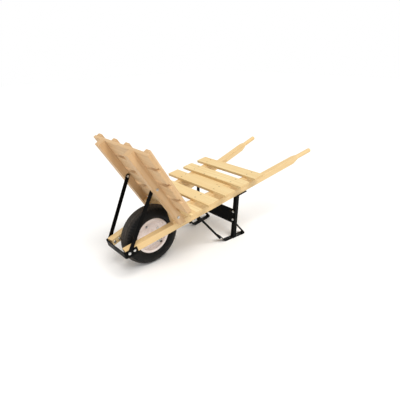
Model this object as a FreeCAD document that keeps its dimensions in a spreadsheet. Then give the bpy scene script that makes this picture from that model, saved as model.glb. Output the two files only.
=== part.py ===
# Garden wheelbarrow: two splayed handle rails on one pneumatic wheel, a slatted
# deck on wedge risers, a slatted rack leaning forward over the wheel, steel legs.
# Millimetres and degrees. X runs along the barrow (nose at -X, grips at +X), Z is
# up, the floor is Z = 0, the origin is the centre of the footprint. Left is -Y.
import FreeCAD, Part
import math
import os

import Sketcher
from FreeCAD import Placement, Rotation, Vector

doc = FreeCAD.newDocument("wheelbarrow")
sheet = doc.addObject("Spreadsheet::Sheet", "dims")

# Driving dimensions. Stations are measured from the axle, along the named piece.
driving = {
    # where the axle stands
    "axle_station": -558.36, "axle_level": 200.0,
    # rails with turned grips
    "rail_width": 44.0, "rail_height": 44.5, "rail_offset": 113.5, "rail_level": 250.4,
    "rail_splay": 7.40, "rail_rise": 10.86, "rail_front": 237.5, "rail_rear": 1400.5,
    "grip_radius": 17.0, "grip_lift": 5.2, "shoulder_start": 1178.0, "shoulder_radius": 36.4,
    "shoulder_end": 1250.0, "grip_round": 7.0,
    # deck on its wedge risers
    "deck_level": 368.0, "deck_tilt": 6.64, "board_width": 89.0, "board_thick": 19.0,
    "deck_board_length": 592.0, "riser_front": 94.0, "riser_rear": 772.0, "riser_blank": 130.0,
    "deck_start_one": 683.0, "deck_start_two": 536.7, "deck_start_three": 394.8,
    "deck_start_four": 246.7, "deck_start_five": 108.5,
    "cross_start": 504.0, "cross_width": 44.0, "cross_height": 38.0,
    # rack on its two posts
    "rack_station": 103.7, "rack_level": 291.8, "rack_lean": 29.6, "post_side": 44.0,
    "post_below": 40.0, "post_above": 571.0, "post_offset": 185.0, "post_toe": 1.0, "post_overlap": 3.0,
    "rack_board_length": 564.0, "rack_board_start": -293.0, "rack_top_one": 566.0, "rack_top_two": 452.0,
    "rack_top_three": 330.0, "rack_top_four": 205.0, "batten_width": 38.0,
    "batten_foot": 94.0, "batten_edge_one": 219.0, "batten_edge_two": 47.0, "batten_edge_three": -82.0,
    "batten_edge_four": -274.0,
    # nose guard and braces
    "strap_thick": 5.0, "nose_height": 46.0, "nose_drop": 6.0, "nose_reach": 72.0, "nose_gap": 6.0,
    "brace_width": 25.0, "brace_thick": 4.0, "brace_top": 304.0, "brace_gap": 1.6,
    "brace_reach": 17.0, "brace_depth": 22.0, "nose_bolt_reach": 52.0,
    # legs, cross plate and feet
    "leg_side": 28.0, "leg_thick": 3.0, "leg_top_station": 590.0, "leg_top_level": 338.0,
    "leg_foot_station": 566.0, "leg_top_offset": 210.0, "leg_foot_offset": 203.0,
    "flange_start": 597.0, "flange_length": 92.0, "flange_width": 40.0, "flange_thick": 5.0,
    "flange_overhang": 8.0,
    "plate_bottom": 124.0, "plate_top": 234.0,
    "plate_length": 392.0, "foot_width": 38.0, "foot_station": 570.0, "foot_offset": 178.4,
    "foot_front": 67.0, "foot_rear": 125.0, "toe_length": 78.0, "toe_angle": 50.0,
    "heel_angle": 52.0, "tab_back": 19.0, "tab_top": 165.0, "rod_radius": 7.5,
    "rod_station": 277.0, "rod_flange": 46.0, "rod_flange_thick": 3.0, "rod_inset": 6.0,
    # wheel, axle and brackets
    "tyre_radius": 200.0, "tyre_half_width": 50.0, "tyre_wall": 8.0, "tyre_side_arc": 39.0,
    "bead_radius": 102.0, "bead_offset": 34.0, "bead_inner": 26.0, "bead_top": 118.5,
    "tube_radius": 38.0, "tube_wall": 2.0, "rim_thick": 2.5, "rim_flange": 118.0,
    "hub_radius": 22.0, "hub_half": 42.0, "bearing_radius": 17.5, "bearing_width": 12.0,
    "axle_radius": 8.0, "axle_half": 108.0, "running_gap": 0.05, "spacer_radius": 12.0,
    "spacer_end": 83.5, "nut_start": 93.5, "bracket_thick": 5.0, "bracket_round": 18.0,
    "valve_angle": 50.0, "valve_offset": 20.0, "valve_radius": 4.0, "valve_inner": 74.0,
    "valve_outer": 120.0, "cap_radius": 5.0, "cap_length": 12.0, "valve_bore": 1.5,
    "disc_radius": 74.0, "dish_start": 86.0, "dish_end": 90.0, "dish_step": 4.0, "dish_depth": 10.0,
    "seat_step": 12.0, "bead_lean": 27.0,
    # fasteners
    "bolt_radius": 4.0, "bolt_head": 7.5, "bolt_head_height": 5.5, "screw_radius": 2.2,
    "screw_head": 4.6, "screw_length": 38.0, "axle_nut": 13.0, "axle_nut_height": 9.0,
    "post_bolt_length": 92.0, "post_bolt_reach": 54.0, "brace_bolt_length": 54.0, "nose_bolt_length": 55.0,
    "brace_foot_bolt_length": 60.5, "wood_bolt_length": 35.0, "plate_bolt_length": 22.0,
    "rim_bolt_length": 10.5, "rim_bolt_circle": 62.0, "rim_bolt_turn": 21.0, "bracket_bolt_reach": 26.0,
    "leg_bolt_near": 46.0, "leg_bolt_far": 76.0, "plate_bolt_offset": 189.0, "plate_bolt_low": 152.0,
    "plate_bolt_high": 214.0, "rod_bolt_back": 30.0,
}


def driving_cell(name, value):
    """Adds one named number to the sheet."""
    row = len(sheet.getUsedCells()) // 2 + 1
    sheet.set(f"A{row}", name)
    sheet.set(f"B{row}", str(value))
    sheet.setAlias(f"B{row}", name)
    sheet.recompute()


for name, value in driving.items():
    driving_cell(name, value)


def size(name):
    return float(sheet.get(name))


sides = {"left": -1, "right": 1}
x_axis = Vector(1, 0, 0)
y_axis = Vector(0, 1, 0)
z_axis = Vector(0, 0, 1)


# Frames: the placements that groups of pieces are built in --------------------

def station(x, y=0.0, z=0.0):
    """Point at a station measured from the axle."""
    return Vector(size("axle_station") + x, y, z)


def moved(frame, x=0.0, y=0.0, z=0.0, turn=None):
    """A frame moved along its own axes, then turned about its new origin."""
    return frame * Placement(Vector(x, y, z), turn or Rotation())


def rail_frame(side):
    """X along the rail from its station at the axle, Z square to its top face."""
    turn = Rotation(z_axis, side * size("rail_splay")) * Rotation(y_axis, -size("rail_rise"))
    return Placement(station(0, side * size("rail_offset"), size("rail_level")), turn)


def deck_frame():
    """X up the slope of the deck, Z square to the boards, origin under them."""
    return Placement(station(0, 0, size("deck_level")), Rotation(y_axis, -size("deck_tilt")))


def rack_frame():
    """Z up the leaning rack, X from the posts' front faces to the back."""
    base = station(size("rack_station"), 0, size("rack_level"))
    return Placement(base, Rotation(y_axis, -size("rack_lean")))


def post_frame(side):
    """The rack frame at the outer face of one post, turned by its toe-in."""
    return moved(rack_frame(), y=side * size("post_offset"), turn=Rotation(x_axis, side * size("post_toe")))


def leg_frame(side):
    """Z up one leg from the floor, origin at its outer front corner."""
    foot = station(size("leg_foot_station"), side * size("leg_foot_offset"), 0)
    top = station(size("leg_top_station"), side * size("leg_top_offset"), size("leg_top_level"))
    along = top - foot
    return Placement(foot, Rotation(y_axis.cross(along), Vector(), along, "ZXY"))


def plate_frame():
    """Z up the plane of the legs' front faces, on the centre line."""
    rise = station(size("leg_top_station"), 0, size("leg_top_level")) - station(size("leg_foot_station"))
    return Placement(station(size("leg_foot_station")), Rotation(y_axis.cross(rise), Vector(), rise, "ZXY"))


def foot_frame(side):
    """X along one foot on the floor, parallel to the rail above it."""
    base = station(size("foot_station"), side * size("foot_offset"), 0)
    return Placement(base, Rotation(z_axis, side * size("rail_splay")))


def wheel_frame():
    return Placement(station(0, 0, size("axle_level")), Rotation())


# Modelling helpers ---------------------------------------------------------------

def primitive(kind, label, frame, **sizes):
    """A Part primitive whose properties are bound to expressions."""
    item = doc.addObject("Part::" + kind, label)
    for name, text in sizes.items():
        item.setExpression(name, text)
    item.Placement = frame
    return item


def bar(label, frame, length, width, height):
    """Box with its corner at the frame's origin."""
    return primitive("Box", label, frame, Length=length, Width=width, Height=height)


def rod(label, frame, radius, height):
    """Cylinder standing on the frame's XY plane."""
    return primitive("Cylinder", label, frame, Radius=radius, Height=height)


def minus(label, base, tools):
    """The base with every tool cut out of it."""
    for k, tool in enumerate(tools):
        cut = doc.addObject("Part::Cut", f"{label}_cut_{k}")
        cut.Base = base
        cut.Tool = tool
        base = cut
    doc.recompute()
    return base


def joined(label, items):
    fuse = doc.addObject("Part::MultiFuse", label + "_fuse")
    fuse.Shapes = items
    doc.recompute()
    return fuse


def new_body(label, frame):
    body = doc.addObject("PartDesign::Body", label + "_body")
    body.Placement = frame
    return body


def sketch_on(body, role, name):
    """Sketch on one of the body's own origin planes."""
    sketch = body.newObject("Sketcher::SketchObject", name)
    plane = next(item for item in body.Origin.OriginFeatures if item.Role == role)
    sketch.AttachmentSupport = [(plane, "")]
    sketch.MapMode = "FlatFace"
    return sketch


def bind(sketch, constraint, text):
    index = sketch.addConstraint(constraint)
    sketch.setExpression(f"Constraints[{index}]", text)


def outline(sketch, corners):
    """Closed outline. A corner is (x, y), or (x, y, arc radius, via x, via y)
    when an arc through the via point leads from it to the next corner."""
    values = [[float(sketch.evalExpression(text)) for text in corner] for corner in corners]
    count = len(corners)
    for k, value in enumerate(values):
        here = Vector(value[0], value[1], 0)
        there = Vector(values[(k + 1) % count][0], values[(k + 1) % count][1], 0)
        if len(value) == 2:
            sketch.addGeometry(Part.LineSegment(here, there), False)
        else:
            sketch.addGeometry(Part.Arc(here, Vector(value[3], value[4], 0), there), False)
    ends = []
    for k, value in enumerate(values):
        start = sketch.getPoint(k, 1)
        right_way = start.distanceToPoint(Vector(value[0], value[1], 0)) < 0.001
        ends.append((1, 2) if right_way else (2, 1))
    for k, corner in enumerate(corners):
        after = (k + 1) % count
        sketch.addConstraint(Sketcher.Constraint("Coincident", k, ends[k][1], after, ends[after][0]))
        bind(sketch, Sketcher.Constraint("DistanceX", k, ends[k][0], values[k][0]), corner[0])
        bind(sketch, Sketcher.Constraint("DistanceY", k, ends[k][0], values[k][1]), corner[1])
        if len(corner) > 2:
            bind(sketch, Sketcher.Constraint("Radius", k, values[k][2]), corner[2])


def ring(sketch, radius):
    """Circle about the sketch's origin."""
    k = sketch.addGeometry(Part.Circle(Vector(), z_axis, float(sketch.evalExpression(radius))), False)
    sketch.addConstraint(Sketcher.Constraint("Coincident", k, 3, -1, 1))
    bind(sketch, Sketcher.Constraint("Radius", k, float(sketch.evalExpression(radius))), radius)


def pad(body, sketch, length, middle=False):
    feature = body.newObject("PartDesign::Pad", sketch.Name + "_pad")
    feature.Profile = sketch
    feature.setExpression("Length", length)
    feature.SideType = "Symmetric" if middle else "One side"
    doc.recompute()
    return feature


def spun(body, sketch, kind="Revolution", axis="V_Axis"):
    """Full turn of a sketch about one of its axes: Revolution adds, Groove cuts."""
    feature = body.newObject("PartDesign::" + kind, sketch.Name + "_turn")
    feature.Profile = sketch
    feature.ReferenceAxis = (sketch, [axis])
    feature.Angle = 360.0
    doc.recompute()
    return feature


parts = {}


def keep(label, item):
    """Names a finished sub-part: its label is its file's name."""
    item.Label = label
    parts[label] = item
    return item


# Fasteners -------------------------------------------------------------------------

def hex_bolt(label, length, nut=False):
    """Bolt with its head above Z = 0, its shank below it and a nut at the tip."""
    head = primitive("Prism", label + "_head", Placement(), Circumradius="dims.bolt_head",
                     Height="dims.bolt_head_height")
    shank = rod(label + "_shank", Placement(Vector(0, 0, -length), Rotation()), "dims.bolt_radius",
                f"{length} + dims.bolt_head_height / 2")
    items = [head, shank]
    if nut:
        under = Placement(Vector(0, 0, -length), Rotation())
        items.append(primitive("Prism", label + "_nut", under, Circumradius="dims.bolt_head",
                               Height="dims.bolt_head_height"))
    for item in items:
        if item.TypeId == "Part::Prism":
            item.Polygon = 6
    return joined(label, items)


def wood_screw(label):
    """Countersunk screw, flush with Z = 0."""
    cone = primitive("Cone", label + "_head", Placement(Vector(0, 0, -3), Rotation()),
                     Radius1="dims.screw_radius", Radius2="dims.screw_head", Height="3")
    shank = rod(label + "_shank", moved(Placement(), z=-size("screw_length")), "dims.screw_radius",
                "dims.screw_length - 1")
    return joined(label, [cone, shank])


def group(label, fastener, spots):
    """Every copy of one fastener, as separate solids."""
    item = doc.addObject("Part::Feature", label + "_group")
    copies = []
    for spot in spots:
        copy = fastener.Shape.copy()
        copy.Placement = spot
        copies.append(copy)
    item.Shape = Part.makeCompound(copies)
    item.Placement = Placement()
    return keep(label, item)


out_y = {side: Rotation(x_axis, -90.0 * side) for side in sides.values()}
out_x = Rotation(y_axis, 90.0)
down = Rotation(x_axis, 180.0)
deck_starts = ["deck_start_one", "deck_start_two", "deck_start_three", "deck_start_four", "deck_start_five"]
rack_tops = ["rack_top_one", "rack_top_two", "rack_top_three", "rack_top_four"]
batten_edges = [size("batten_edge_" + count) for count in ("one", "two", "three", "four")]
half_rail = size("rail_width") / 2
half_height = size("rail_height") / 2
screw = wood_screw("screw")


def rail_y_on_deck(x, side):
    """Y of the rail's centre line where the deck crosses it at a station."""
    return side * (size("rail_offset") + x * math.tan(math.radians(size("rail_splay"))))


def deck_screw_spots():
    """Two screws through each board into each riser, two more into the cross member."""
    spots = []
    for name in deck_starts:
        for side in sides.values():
            for across in (0.25, 0.75):
                x = size(name) + across * size("board_width")
                y = rail_y_on_deck(x * math.cos(math.radians(size("deck_tilt"))), side)
                spots.append(moved(deck_frame(), x, y, size("board_thick")))
    for y in (-60.0, 60.0):
        spots.append(moved(deck_frame(), size("deck_start_two") + 7.0, y, size("board_thick")))
    return spots


def rack_screw_spots():
    """Two screws through each rack board into each post."""
    spots = []
    depth = size("post_side") + size("board_thick")
    toe = math.tan(math.radians(size("post_toe")))
    for name in rack_tops:
        for side in sides.values():
            for across in (0.2, 0.8):
                z = size(name) - across * size("board_width")
                y = side * (size("post_offset") - size("post_side") / 2 - z * toe)
                spots.append(moved(rack_frame(), depth, y, z, out_x))
    return spots


def batten_screw_spots():
    """One screw through each batten into each rack board."""
    depth = size("post_side") + 2 * size("board_thick")
    half = size("batten_width") / 2
    return [moved(rack_frame(), depth, edge + half, size(name) - size("board_width") / 2, out_x)
            for edge in batten_edges for name in rack_tops]


def post_bolt_spots(depth, level):
    """On the outer face of each post, at a depth behind its front and a height along it."""
    return [moved(post_frame(side), depth, 0, level, out_y[side]) for side in sides.values()]


def nose_bolt_spots():
    """The rear bolt through each arm of the nose guard."""
    face = half_rail + size("strap_thick")
    reach = size("nose_bolt_reach") - size("rail_front")
    return [moved(rail_frame(side), reach, side * face, 0, out_y[side])
            for side in sides.values()]


def brace_foot_spots():
    """The front bolt of each nose arm also holds the foot of its brace."""
    face = half_rail + size("strap_thick") + size("brace_gap") + size("brace_thick")
    return [moved(rail_frame(side), -size("rail_front") + size("brace_reach"), side * face, 0, out_y[side])
            for side in sides.values()]


def leg_bolt_spots():
    """Two lag bolts up through each leg's top flange."""
    return [moved(rail_frame(side), size("flange_start") + reach, side * (half_rail - size("leg_side") / 2),
                  -half_height - size("flange_thick"), down)
            for side in sides.values() for reach in (size("leg_bolt_near"), size("leg_bolt_far"))]


def plate_bolt_spots():
    """Two bolts through the cross plate and each leg's front flange."""
    forward = Rotation(y_axis, -90.0)
    return [moved(plate_frame(), -size("leg_thick"), side * size("plate_bolt_offset"), level, forward)
            for side in sides.values() for level in (size("plate_bolt_low"), size("plate_bolt_high"))]


def rod_bolt_spots():
    """One lag bolt up through each foot rod's flange."""
    return [moved(rail_frame(side), size("rod_station") - size("rod_bolt_back"), side * size("rod_inset"),
                  -half_height - size("rod_flange_thick"), down)
            for side in sides.values()]


def bracket_bolt_spots():
    """Two lag bolts through each axle bracket into the rail's inner face."""
    face = half_rail + size("bracket_thick")
    return [moved(rail_frame(side), reach, -side * face, 0, out_y[-side])
            for side in sides.values() for reach in (-size("bracket_bolt_reach"), size("bracket_bolt_reach"))]


deck_screws = group("deck_screws", screw, deck_screw_spots())
rack_screws = group("rack_screws", screw, rack_screw_spots())
batten_screws = group("batten_screws", screw, batten_screw_spots())
post_bolts = group("post_bolts", hex_bolt("post_bolt", size("post_bolt_length")),
                   post_bolt_spots(size("post_side") / 2, size("post_bolt_reach")))
brace_bolts = group("brace_bolts", hex_bolt("brace_bolt", size("brace_bolt_length"), True),
                    post_bolt_spots(size("brace_depth"), size("brace_top")))
nose_bolts = group("nose_bolts", hex_bolt("nose_bolt", size("nose_bolt_length"), True), nose_bolt_spots())
foot_bolt = hex_bolt("brace_foot_bolt", size("brace_foot_bolt_length"), True)
brace_foot_bolts = group("brace_foot_bolts", foot_bolt, brace_foot_spots())
leg_bolts = group("leg_bolts", hex_bolt("leg_bolt", size("wood_bolt_length")), leg_bolt_spots())
plate_bolt = hex_bolt("plate_bolt", size("plate_bolt_length"), True)
plate_bolts = group("plate_bolts", plate_bolt, plate_bolt_spots())
rod_bolts = group("rod_bolts", hex_bolt("rod_bolt", size("wood_bolt_length")), rod_bolt_spots())
bracket_bolt = hex_bolt("bracket_bolt", size("wood_bolt_length"))
bracket_bolts = group("bracket_bolts", bracket_bolt, bracket_bolt_spots())


# Rails: square timber whose rear end is turned down to a round grip -----------------

def handle(label, side):
    body = new_body(label, rail_frame(side))
    section = sketch_on(body, "YZ_Plane", label + "_section")
    half_w = "dims.rail_width / 2"
    half_h = "dims.rail_height / 2"
    outline(section, [("-" + half_w, "-" + half_h), (half_w, "-" + half_h), (half_w, half_h),
                      ("-" + half_w, half_h)])
    timber = pad(body, section, "dims.rail_rear + dims.rail_front")
    section.setExpression("AttachmentOffset.Base.z", "-dims.rail_front")
    doc.recompute()
    whole = timber.Shape.Volume
    turning = sketch_on(body, "XZ_Plane", label + "_turning")
    round_x = "dims.rail_rear - dims.grip_round"
    round_y = "dims.grip_radius - dims.grip_round"
    diagonal = "dims.grip_round * 0.7071"
    outline(turning, [
        ("dims.shoulder_start", "dims.shoulder_radius"), ("dims.shoulder_end", "dims.grip_radius"),
        (round_x, "dims.grip_radius", "dims.grip_round", f"{round_x} + {diagonal}",
         f"{round_y} + {diagonal}"),
        ("dims.rail_rear", round_y), ("dims.rail_rear", "0.1"), ("dims.rail_rear + 5", "0.1"),
        ("dims.rail_rear + 5", "40"), ("dims.shoulder_start", "40")])
    turning.setExpression("AttachmentOffset.Base.y", "dims.grip_lift")
    doc.recompute()
    groove = spun(body, turning, "Groove", "H_Axis")
    least_cut = 1000.0
    if groove.Shape.Volume > whole - least_cut:
        raise RuntimeError(label + ": the grip was not turned")
    tools = [nose_bolts, brace_foot_bolts, leg_bolts, rod_bolts, bracket_bolts]
    return keep(label + "_handle", minus(label + "_handle", body, tools))


for name, side in sides.items():
    handle(name, side)


# Deck: wedge risers under five boards and a cross member ---------------------------------

def over_deck(label):
    """Everything above the plane that the boards lie on."""
    return bar(label, moved(deck_frame(), -200, -400, 0), "1300", "800", "300")


def riser(label, side):
    """Wedge on the rail: its top lies in the plane of the deck."""
    corner = moved(rail_frame(side), size("riser_front"), -half_rail, half_height)
    blank = bar(label + "_blank", corner, "dims.riser_rear - dims.riser_front", "dims.rail_width",
                "dims.riser_blank")
    return keep(label, minus(label, blank, [over_deck(label + "_top"), deck_screws, post_bolts]))


def deck_board(label, start):
    corner = moved(deck_frame(), size(start), -size("deck_board_length") / 2, 0)
    board = bar(label + "_board", corner, "dims.board_width", "dims.deck_board_length", "dims.board_thick")
    return keep(label, minus(label, board, [deck_screws]))


def beyond_riser(label, side):
    """Everything outboard of a riser's inner face."""
    corner = moved(rail_frame(side), 0, side * (200.0 - half_rail) - 200.0, -200)
    return bar(label, corner, "1000", "400", "600")


def cross_member():
    """Timber under the second board, its ends cut to the risers' inner faces."""
    corner = moved(deck_frame(), size("cross_start"), -200, -size("cross_height"))
    blank = bar("cross_blank", corner, "dims.cross_width", "400", "dims.cross_height")
    tools = [beyond_riser("beyond_left", -1), beyond_riser("beyond_right", 1), deck_screws]
    return keep("cross_member", minus("cross_member", blank, tools))


for name, side in sides.items():
    riser(name + "_riser", side)
for number, start in enumerate(deck_starts, start=1):
    deck_board(f"deck_slat_{number}", start)
cross_member()


# Rack: two leaning posts, four boards across them and four battens behind ------------------

def post(label, side):
    """Square post, housed where it lies against the rail and riser."""
    corner = moved(post_frame(side), 0, -size("post_side") * (side + 1) / 2, -size("post_below"))
    timber = bar(label + "_timber", corner, "dims.post_side", "dims.post_side",
                 "dims.post_below + dims.post_above")
    inboard = moved(rail_frame(side), -400, side * (half_rail - 100.0) - 100.0, -150)
    housing = bar(label + "_housing", inboard, "900", "200", "500")
    below = bar(label + "_below", moved(rail_frame(side), -400, -200, -150), "900", "400",
                "150 + dims.rail_height / 2 - dims.post_overlap")
    return keep(label, minus(label, timber, [housing, below, post_bolts, brace_bolts, rack_screws]))


def rack_board(label, top):
    corner = moved(rack_frame(), size("post_side"), size("rack_board_start"),
                   size(top) - size("board_width"))
    board = bar(label + "_board", corner, "dims.board_thick", "dims.rack_board_length", "dims.board_width")
    return keep(label, minus(label, board, [rack_screws, batten_screws]))


def batten(label, edge):
    corner = moved(rack_frame(), size("post_side") + size("board_thick"), edge, size("batten_foot"))
    strip = bar(label + "_strip", corner, "dims.board_thick", "dims.batten_width",
                "dims.rack_top_one - dims.batten_foot")
    return keep(label, minus(label, strip, [batten_screws]))


for name, side in sides.items():
    post(name + "_post", side)
for number, top in enumerate(rack_tops, start=1):
    rack_board(f"rack_slat_{number}", top)
for number, edge in enumerate(batten_edges, start=1):
    batten(f"rack_batten_{number}", edge)


# Nose guard and braces ------------------------------------------------------------------------

def nose_guard():
    """Flat bar on edge, bent round the front ends of both rails."""
    arms = []
    for name, side in sides.items():
        edge = side * (half_rail + size("strap_thick") / 2) - size("strap_thick") / 2
        front = -size("rail_front") - size("nose_gap") - size("strap_thick")
        corner = moved(rail_frame(side), front, edge, -size("nose_height") / 2 - size("nose_drop"))
        arms.append(bar(f"nose_{name}_arm", corner, "dims.nose_reach + dims.nose_gap + dims.strap_thick",
                        "dims.strap_thick", "dims.nose_height"))
    tip = arms[1].Placement.multVec(Vector(0, size("strap_thick"), 0))
    level = Placement(station(0, 0, size("rail_level")), Rotation(y_axis, -size("rail_rise")))
    ahead = level.inverse().multVec(tip)
    corner = moved(level, ahead.x, -ahead.y, -size("nose_height") / 2 - size("nose_drop"))
    driving_cell("nose_bar_length", 2 * ahead.y)
    arms.append(bar("nose_bar", corner, "dims.strap_thick", "dims.nose_bar_length", "dims.nose_height"))
    bent_bar = joined("nose_guard", arms)
    return keep("nose_guard", minus("nose_guard", bent_bar, [nose_bolts, brace_foot_bolts]))


def brace(label, side):
    """Flat bar from the post's inner face to the nose guard's arm, with two flat ends."""
    top = moved(post_frame(side), size("brace_depth"),
                -side * (size("post_side") + size("brace_thick") / 2 + 0.3), size("brace_top")).Base
    face = half_rail + size("strap_thick") + size("brace_gap") + size("brace_thick") / 2
    foot = moved(rail_frame(side), -size("rail_front") + size("brace_reach"), side * face, 0).Base
    along = Vector(foot.x - top.x, 0, foot.z - top.z)
    driving_cell(label + "_run", along.Length)
    driving_cell(label + "_shift", foot.y - top.y)
    splay = math.tan(math.radians(size("rail_splay")))
    driving_cell(label + "_slant", side * splay * along.x / along.Length)
    body = new_body(label, Placement(top, Rotation(along, y_axis, Vector(), "XYZ")))
    sketch = sketch_on(body, "XY_Plane", label + "_side")
    run = f"dims.{label}_run"
    half = "dims.brace_thick / 2"
    bend = f"dims.{label}_shift - 22 * dims.{label}_slant"
    end = f"dims.{label}_shift + 14 * dims.{label}_slant"
    outline(sketch, [
        ("-16", "-" + half), ("24", "-" + half), (f"{run} - 22", f"{bend} - {half}"),
        (f"{run} + 14", f"{end} - {half}"), (f"{run} + 14", f"{end} + {half}"),
        (f"{run} - 22", f"{bend} + {half}"), ("24", half), ("-16", half)])
    pad(body, sketch, "dims.brace_width", True)
    return keep(label, minus(label, body, [brace_bolts, brace_foot_bolts]))


nose_guard()
for name, side in sides.items():
    brace(name + "_brace", side)


# Legs, cross plate and feet ---------------------------------------------------------------------

def leg(label, side):
    """Steel angle with its corner outward and a flange welded on top, under the rail."""
    body = new_body(label, leg_frame(side))
    sketch = sketch_on(body, "XY_Plane", label + "_section")
    inward = "-" if side > 0 else ""
    wide = inward + "dims.leg_side"
    thick = inward + "dims.leg_thick"
    outline(sketch, [("0", "0"), ("dims.leg_side", "0"), ("dims.leg_side", thick), ("dims.leg_thick", thick),
                     ("dims.leg_thick", wide), ("0", wide)])
    pad(body, sketch, "dims.leg_top_level + 30")
    floor = bar(label + "_floor", station_frame(-100, -400, -20), "1500", "800", "20 + dims.strap_thick")
    roof_corner = moved(rail_frame(side), 300, -150, -half_height)
    roof = bar(label + "_roof", roof_corner, "700", "300", "200")
    post_shape = minus(label + "_angle", body, [floor, roof])
    outboard = half_rail + size("flange_overhang")
    edge = outboard - size("flange_width") if side > 0 else -outboard
    corner = moved(rail_frame(side), size("flange_start"), edge, -half_height - size("flange_thick"))
    flange = bar(label + "_flange", corner, "dims.flange_length", "dims.flange_width", "dims.flange_thick")
    return keep(label, minus(label, joined(label, [post_shape, flange]), [leg_bolts, plate_bolts]))


def station_frame(x, y, z):
    return Placement(station(x, y, z), Rotation())


def leg_plate():
    """Plate across the front faces of both legs."""
    corner = moved(plate_frame(), -size("leg_thick"), -size("plate_length") / 2, size("plate_bottom"))
    plate = bar("plate_blank", corner, "dims.leg_thick", "dims.plate_length",
                "dims.plate_top - dims.plate_bottom")
    return keep("leg_plate", minus("leg_plate", plate, [plate_bolts]))


def foot(label, side):
    """Flat bar along the floor with a raised toe and a heel bent back up to the leg."""
    body = new_body(label, foot_frame(side))
    sketch = sketch_on(body, "XZ_Plane", label + "_side")
    thick = "dims.strap_thick"
    toe = "dims.toe_angle * 1 deg"
    heel = "dims.heel_angle * 1 deg"
    toe_x = f"-dims.foot_front - dims.toe_length * cos({toe})"
    toe_z = f"dims.toe_length * sin({toe})"
    heel_x = f"dims.foot_rear - {thick} / tan({heel} / 2)"
    outline(sketch, [
        (toe_x, toe_z), ("-dims.foot_front", "0"), ("dims.foot_rear", "0"),
        ("dims.tab_back", f"(dims.foot_rear - dims.tab_back) * tan({heel})"),
        ("dims.tab_back", "dims.tab_top"), (f"dims.tab_back - {thick}", "dims.tab_top"),
        (f"dims.tab_back - {thick}", f"{thick} + ({heel_x} - dims.tab_back + {thick}) * tan({heel})"),
        (heel_x, thick), (f"-dims.foot_front + {thick} * tan({toe} / 2)", thick),
        (f"{toe_x} + {thick} * sin({toe})", f"{toe_z} + {thick} * cos({toe})")])
    pad(body, sketch, "dims.foot_width", True)
    return keep(label, minus(label, body, [plate_bolts]))


def foot_rod(label, side):
    """Round rod from the toe up to a small flange under the rail."""
    angle = math.radians(size("toe_angle"))
    reach = size("toe_length") - 30.0
    lift = -size("rod_radius") - 1.5
    lower = moved(foot_frame(side), -size("foot_front") - reach * math.cos(angle) + lift * math.sin(angle),
                  0, reach * math.sin(angle) + lift * math.cos(angle)).Base
    upper = moved(rail_frame(side), size("rod_station"), side * size("rod_inset"), -half_height).Base
    frame = Placement(lower, Rotation(Vector(), y_axis, upper - lower, "ZXY"))
    bar_round = rod(label + "_round", frame, "dims.rod_radius", str(round((upper - lower).Length, 3)))
    flange_under = -half_height - size("rod_flange_thick")
    under = moved(rail_frame(side), 0, -150, flange_under)
    trimmed = minus(label + "_round", bar_round, [bar(label + "_roof", under, "700", "300", "200")])
    flange_start = size("rod_station") - 38.0
    corner = moved(rail_frame(side), flange_start, side * size("rod_inset") - 10.0, flange_under)
    flange = bar(label + "_flange", corner, "dims.rod_flange", "20", "dims.rod_flange_thick")
    return keep(label, minus(label, joined(label, [trimmed, flange]), [rod_bolts]))


for name, side in sides.items():
    leg(name + "_leg", side)
    foot(name + "_foot", side)
    foot_rod(name + "_foot_rod", side)
leg_plate()


# Axle, brackets and wheel ---------------------------------------------------------------------------

def along_y(y):
    """Frame on the axle line at a Y, with Z along +Y."""
    return moved(wheel_frame(), 0, y, 0, Rotation(x_axis, -90.0))


def axle():
    start = along_y(-size("axle_half"))
    return keep("axle", rod("axle_rod", start, "dims.axle_radius", "2 * dims.axle_half"))


def axle_bracket(label, side, shaft):
    """Plate on the rail's inner face, hanging below it to carry the axle."""
    base = Placement(station(0, side * size("rail_offset"), size("axle_level")),
                     Rotation(z_axis, side * size("rail_splay")))
    body = new_body(label, moved(base, 0, -side * (half_rail + size("bracket_thick") / 2), 0))
    plate = sketch_on(body, "XZ_Plane", label + "_plate")
    outline(plate, [("-38", "34"), ("-dims.bracket_round", "0"), ("dims.bracket_round", "0"), ("38", "34"),
                    ("38", "66"), ("-38", "62")])
    pad(body, plate, "dims.bracket_thick", True)
    eye = sketch_on(body, "XZ_Plane", label + "_eye")
    ring(eye, "dims.bracket_round")
    pad(body, eye, "dims.bracket_thick", True)
    return keep(label, minus(label, body, [shaft, bracket_bolts]))


def tube(label, y, outer, inner, length):
    """Tube about the axle line, from a Y along +Y."""
    frame = along_y(y)
    hollow = rod(label + "_inner", frame, inner, length)
    return minus(label, rod(label + "_outer", frame, outer, length), [hollow])


def axle_nut(side, start):
    """Hexagon nut on one end of the axle."""
    y = start if side > 0 else -start - size("axle_nut_height")
    nut = primitive("Prism", f"axle_nut_{side}", along_y(y), Circumradius="dims.axle_nut",
                    Height="dims.axle_nut_height")
    nut.Polygon = 6
    return nut


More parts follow.
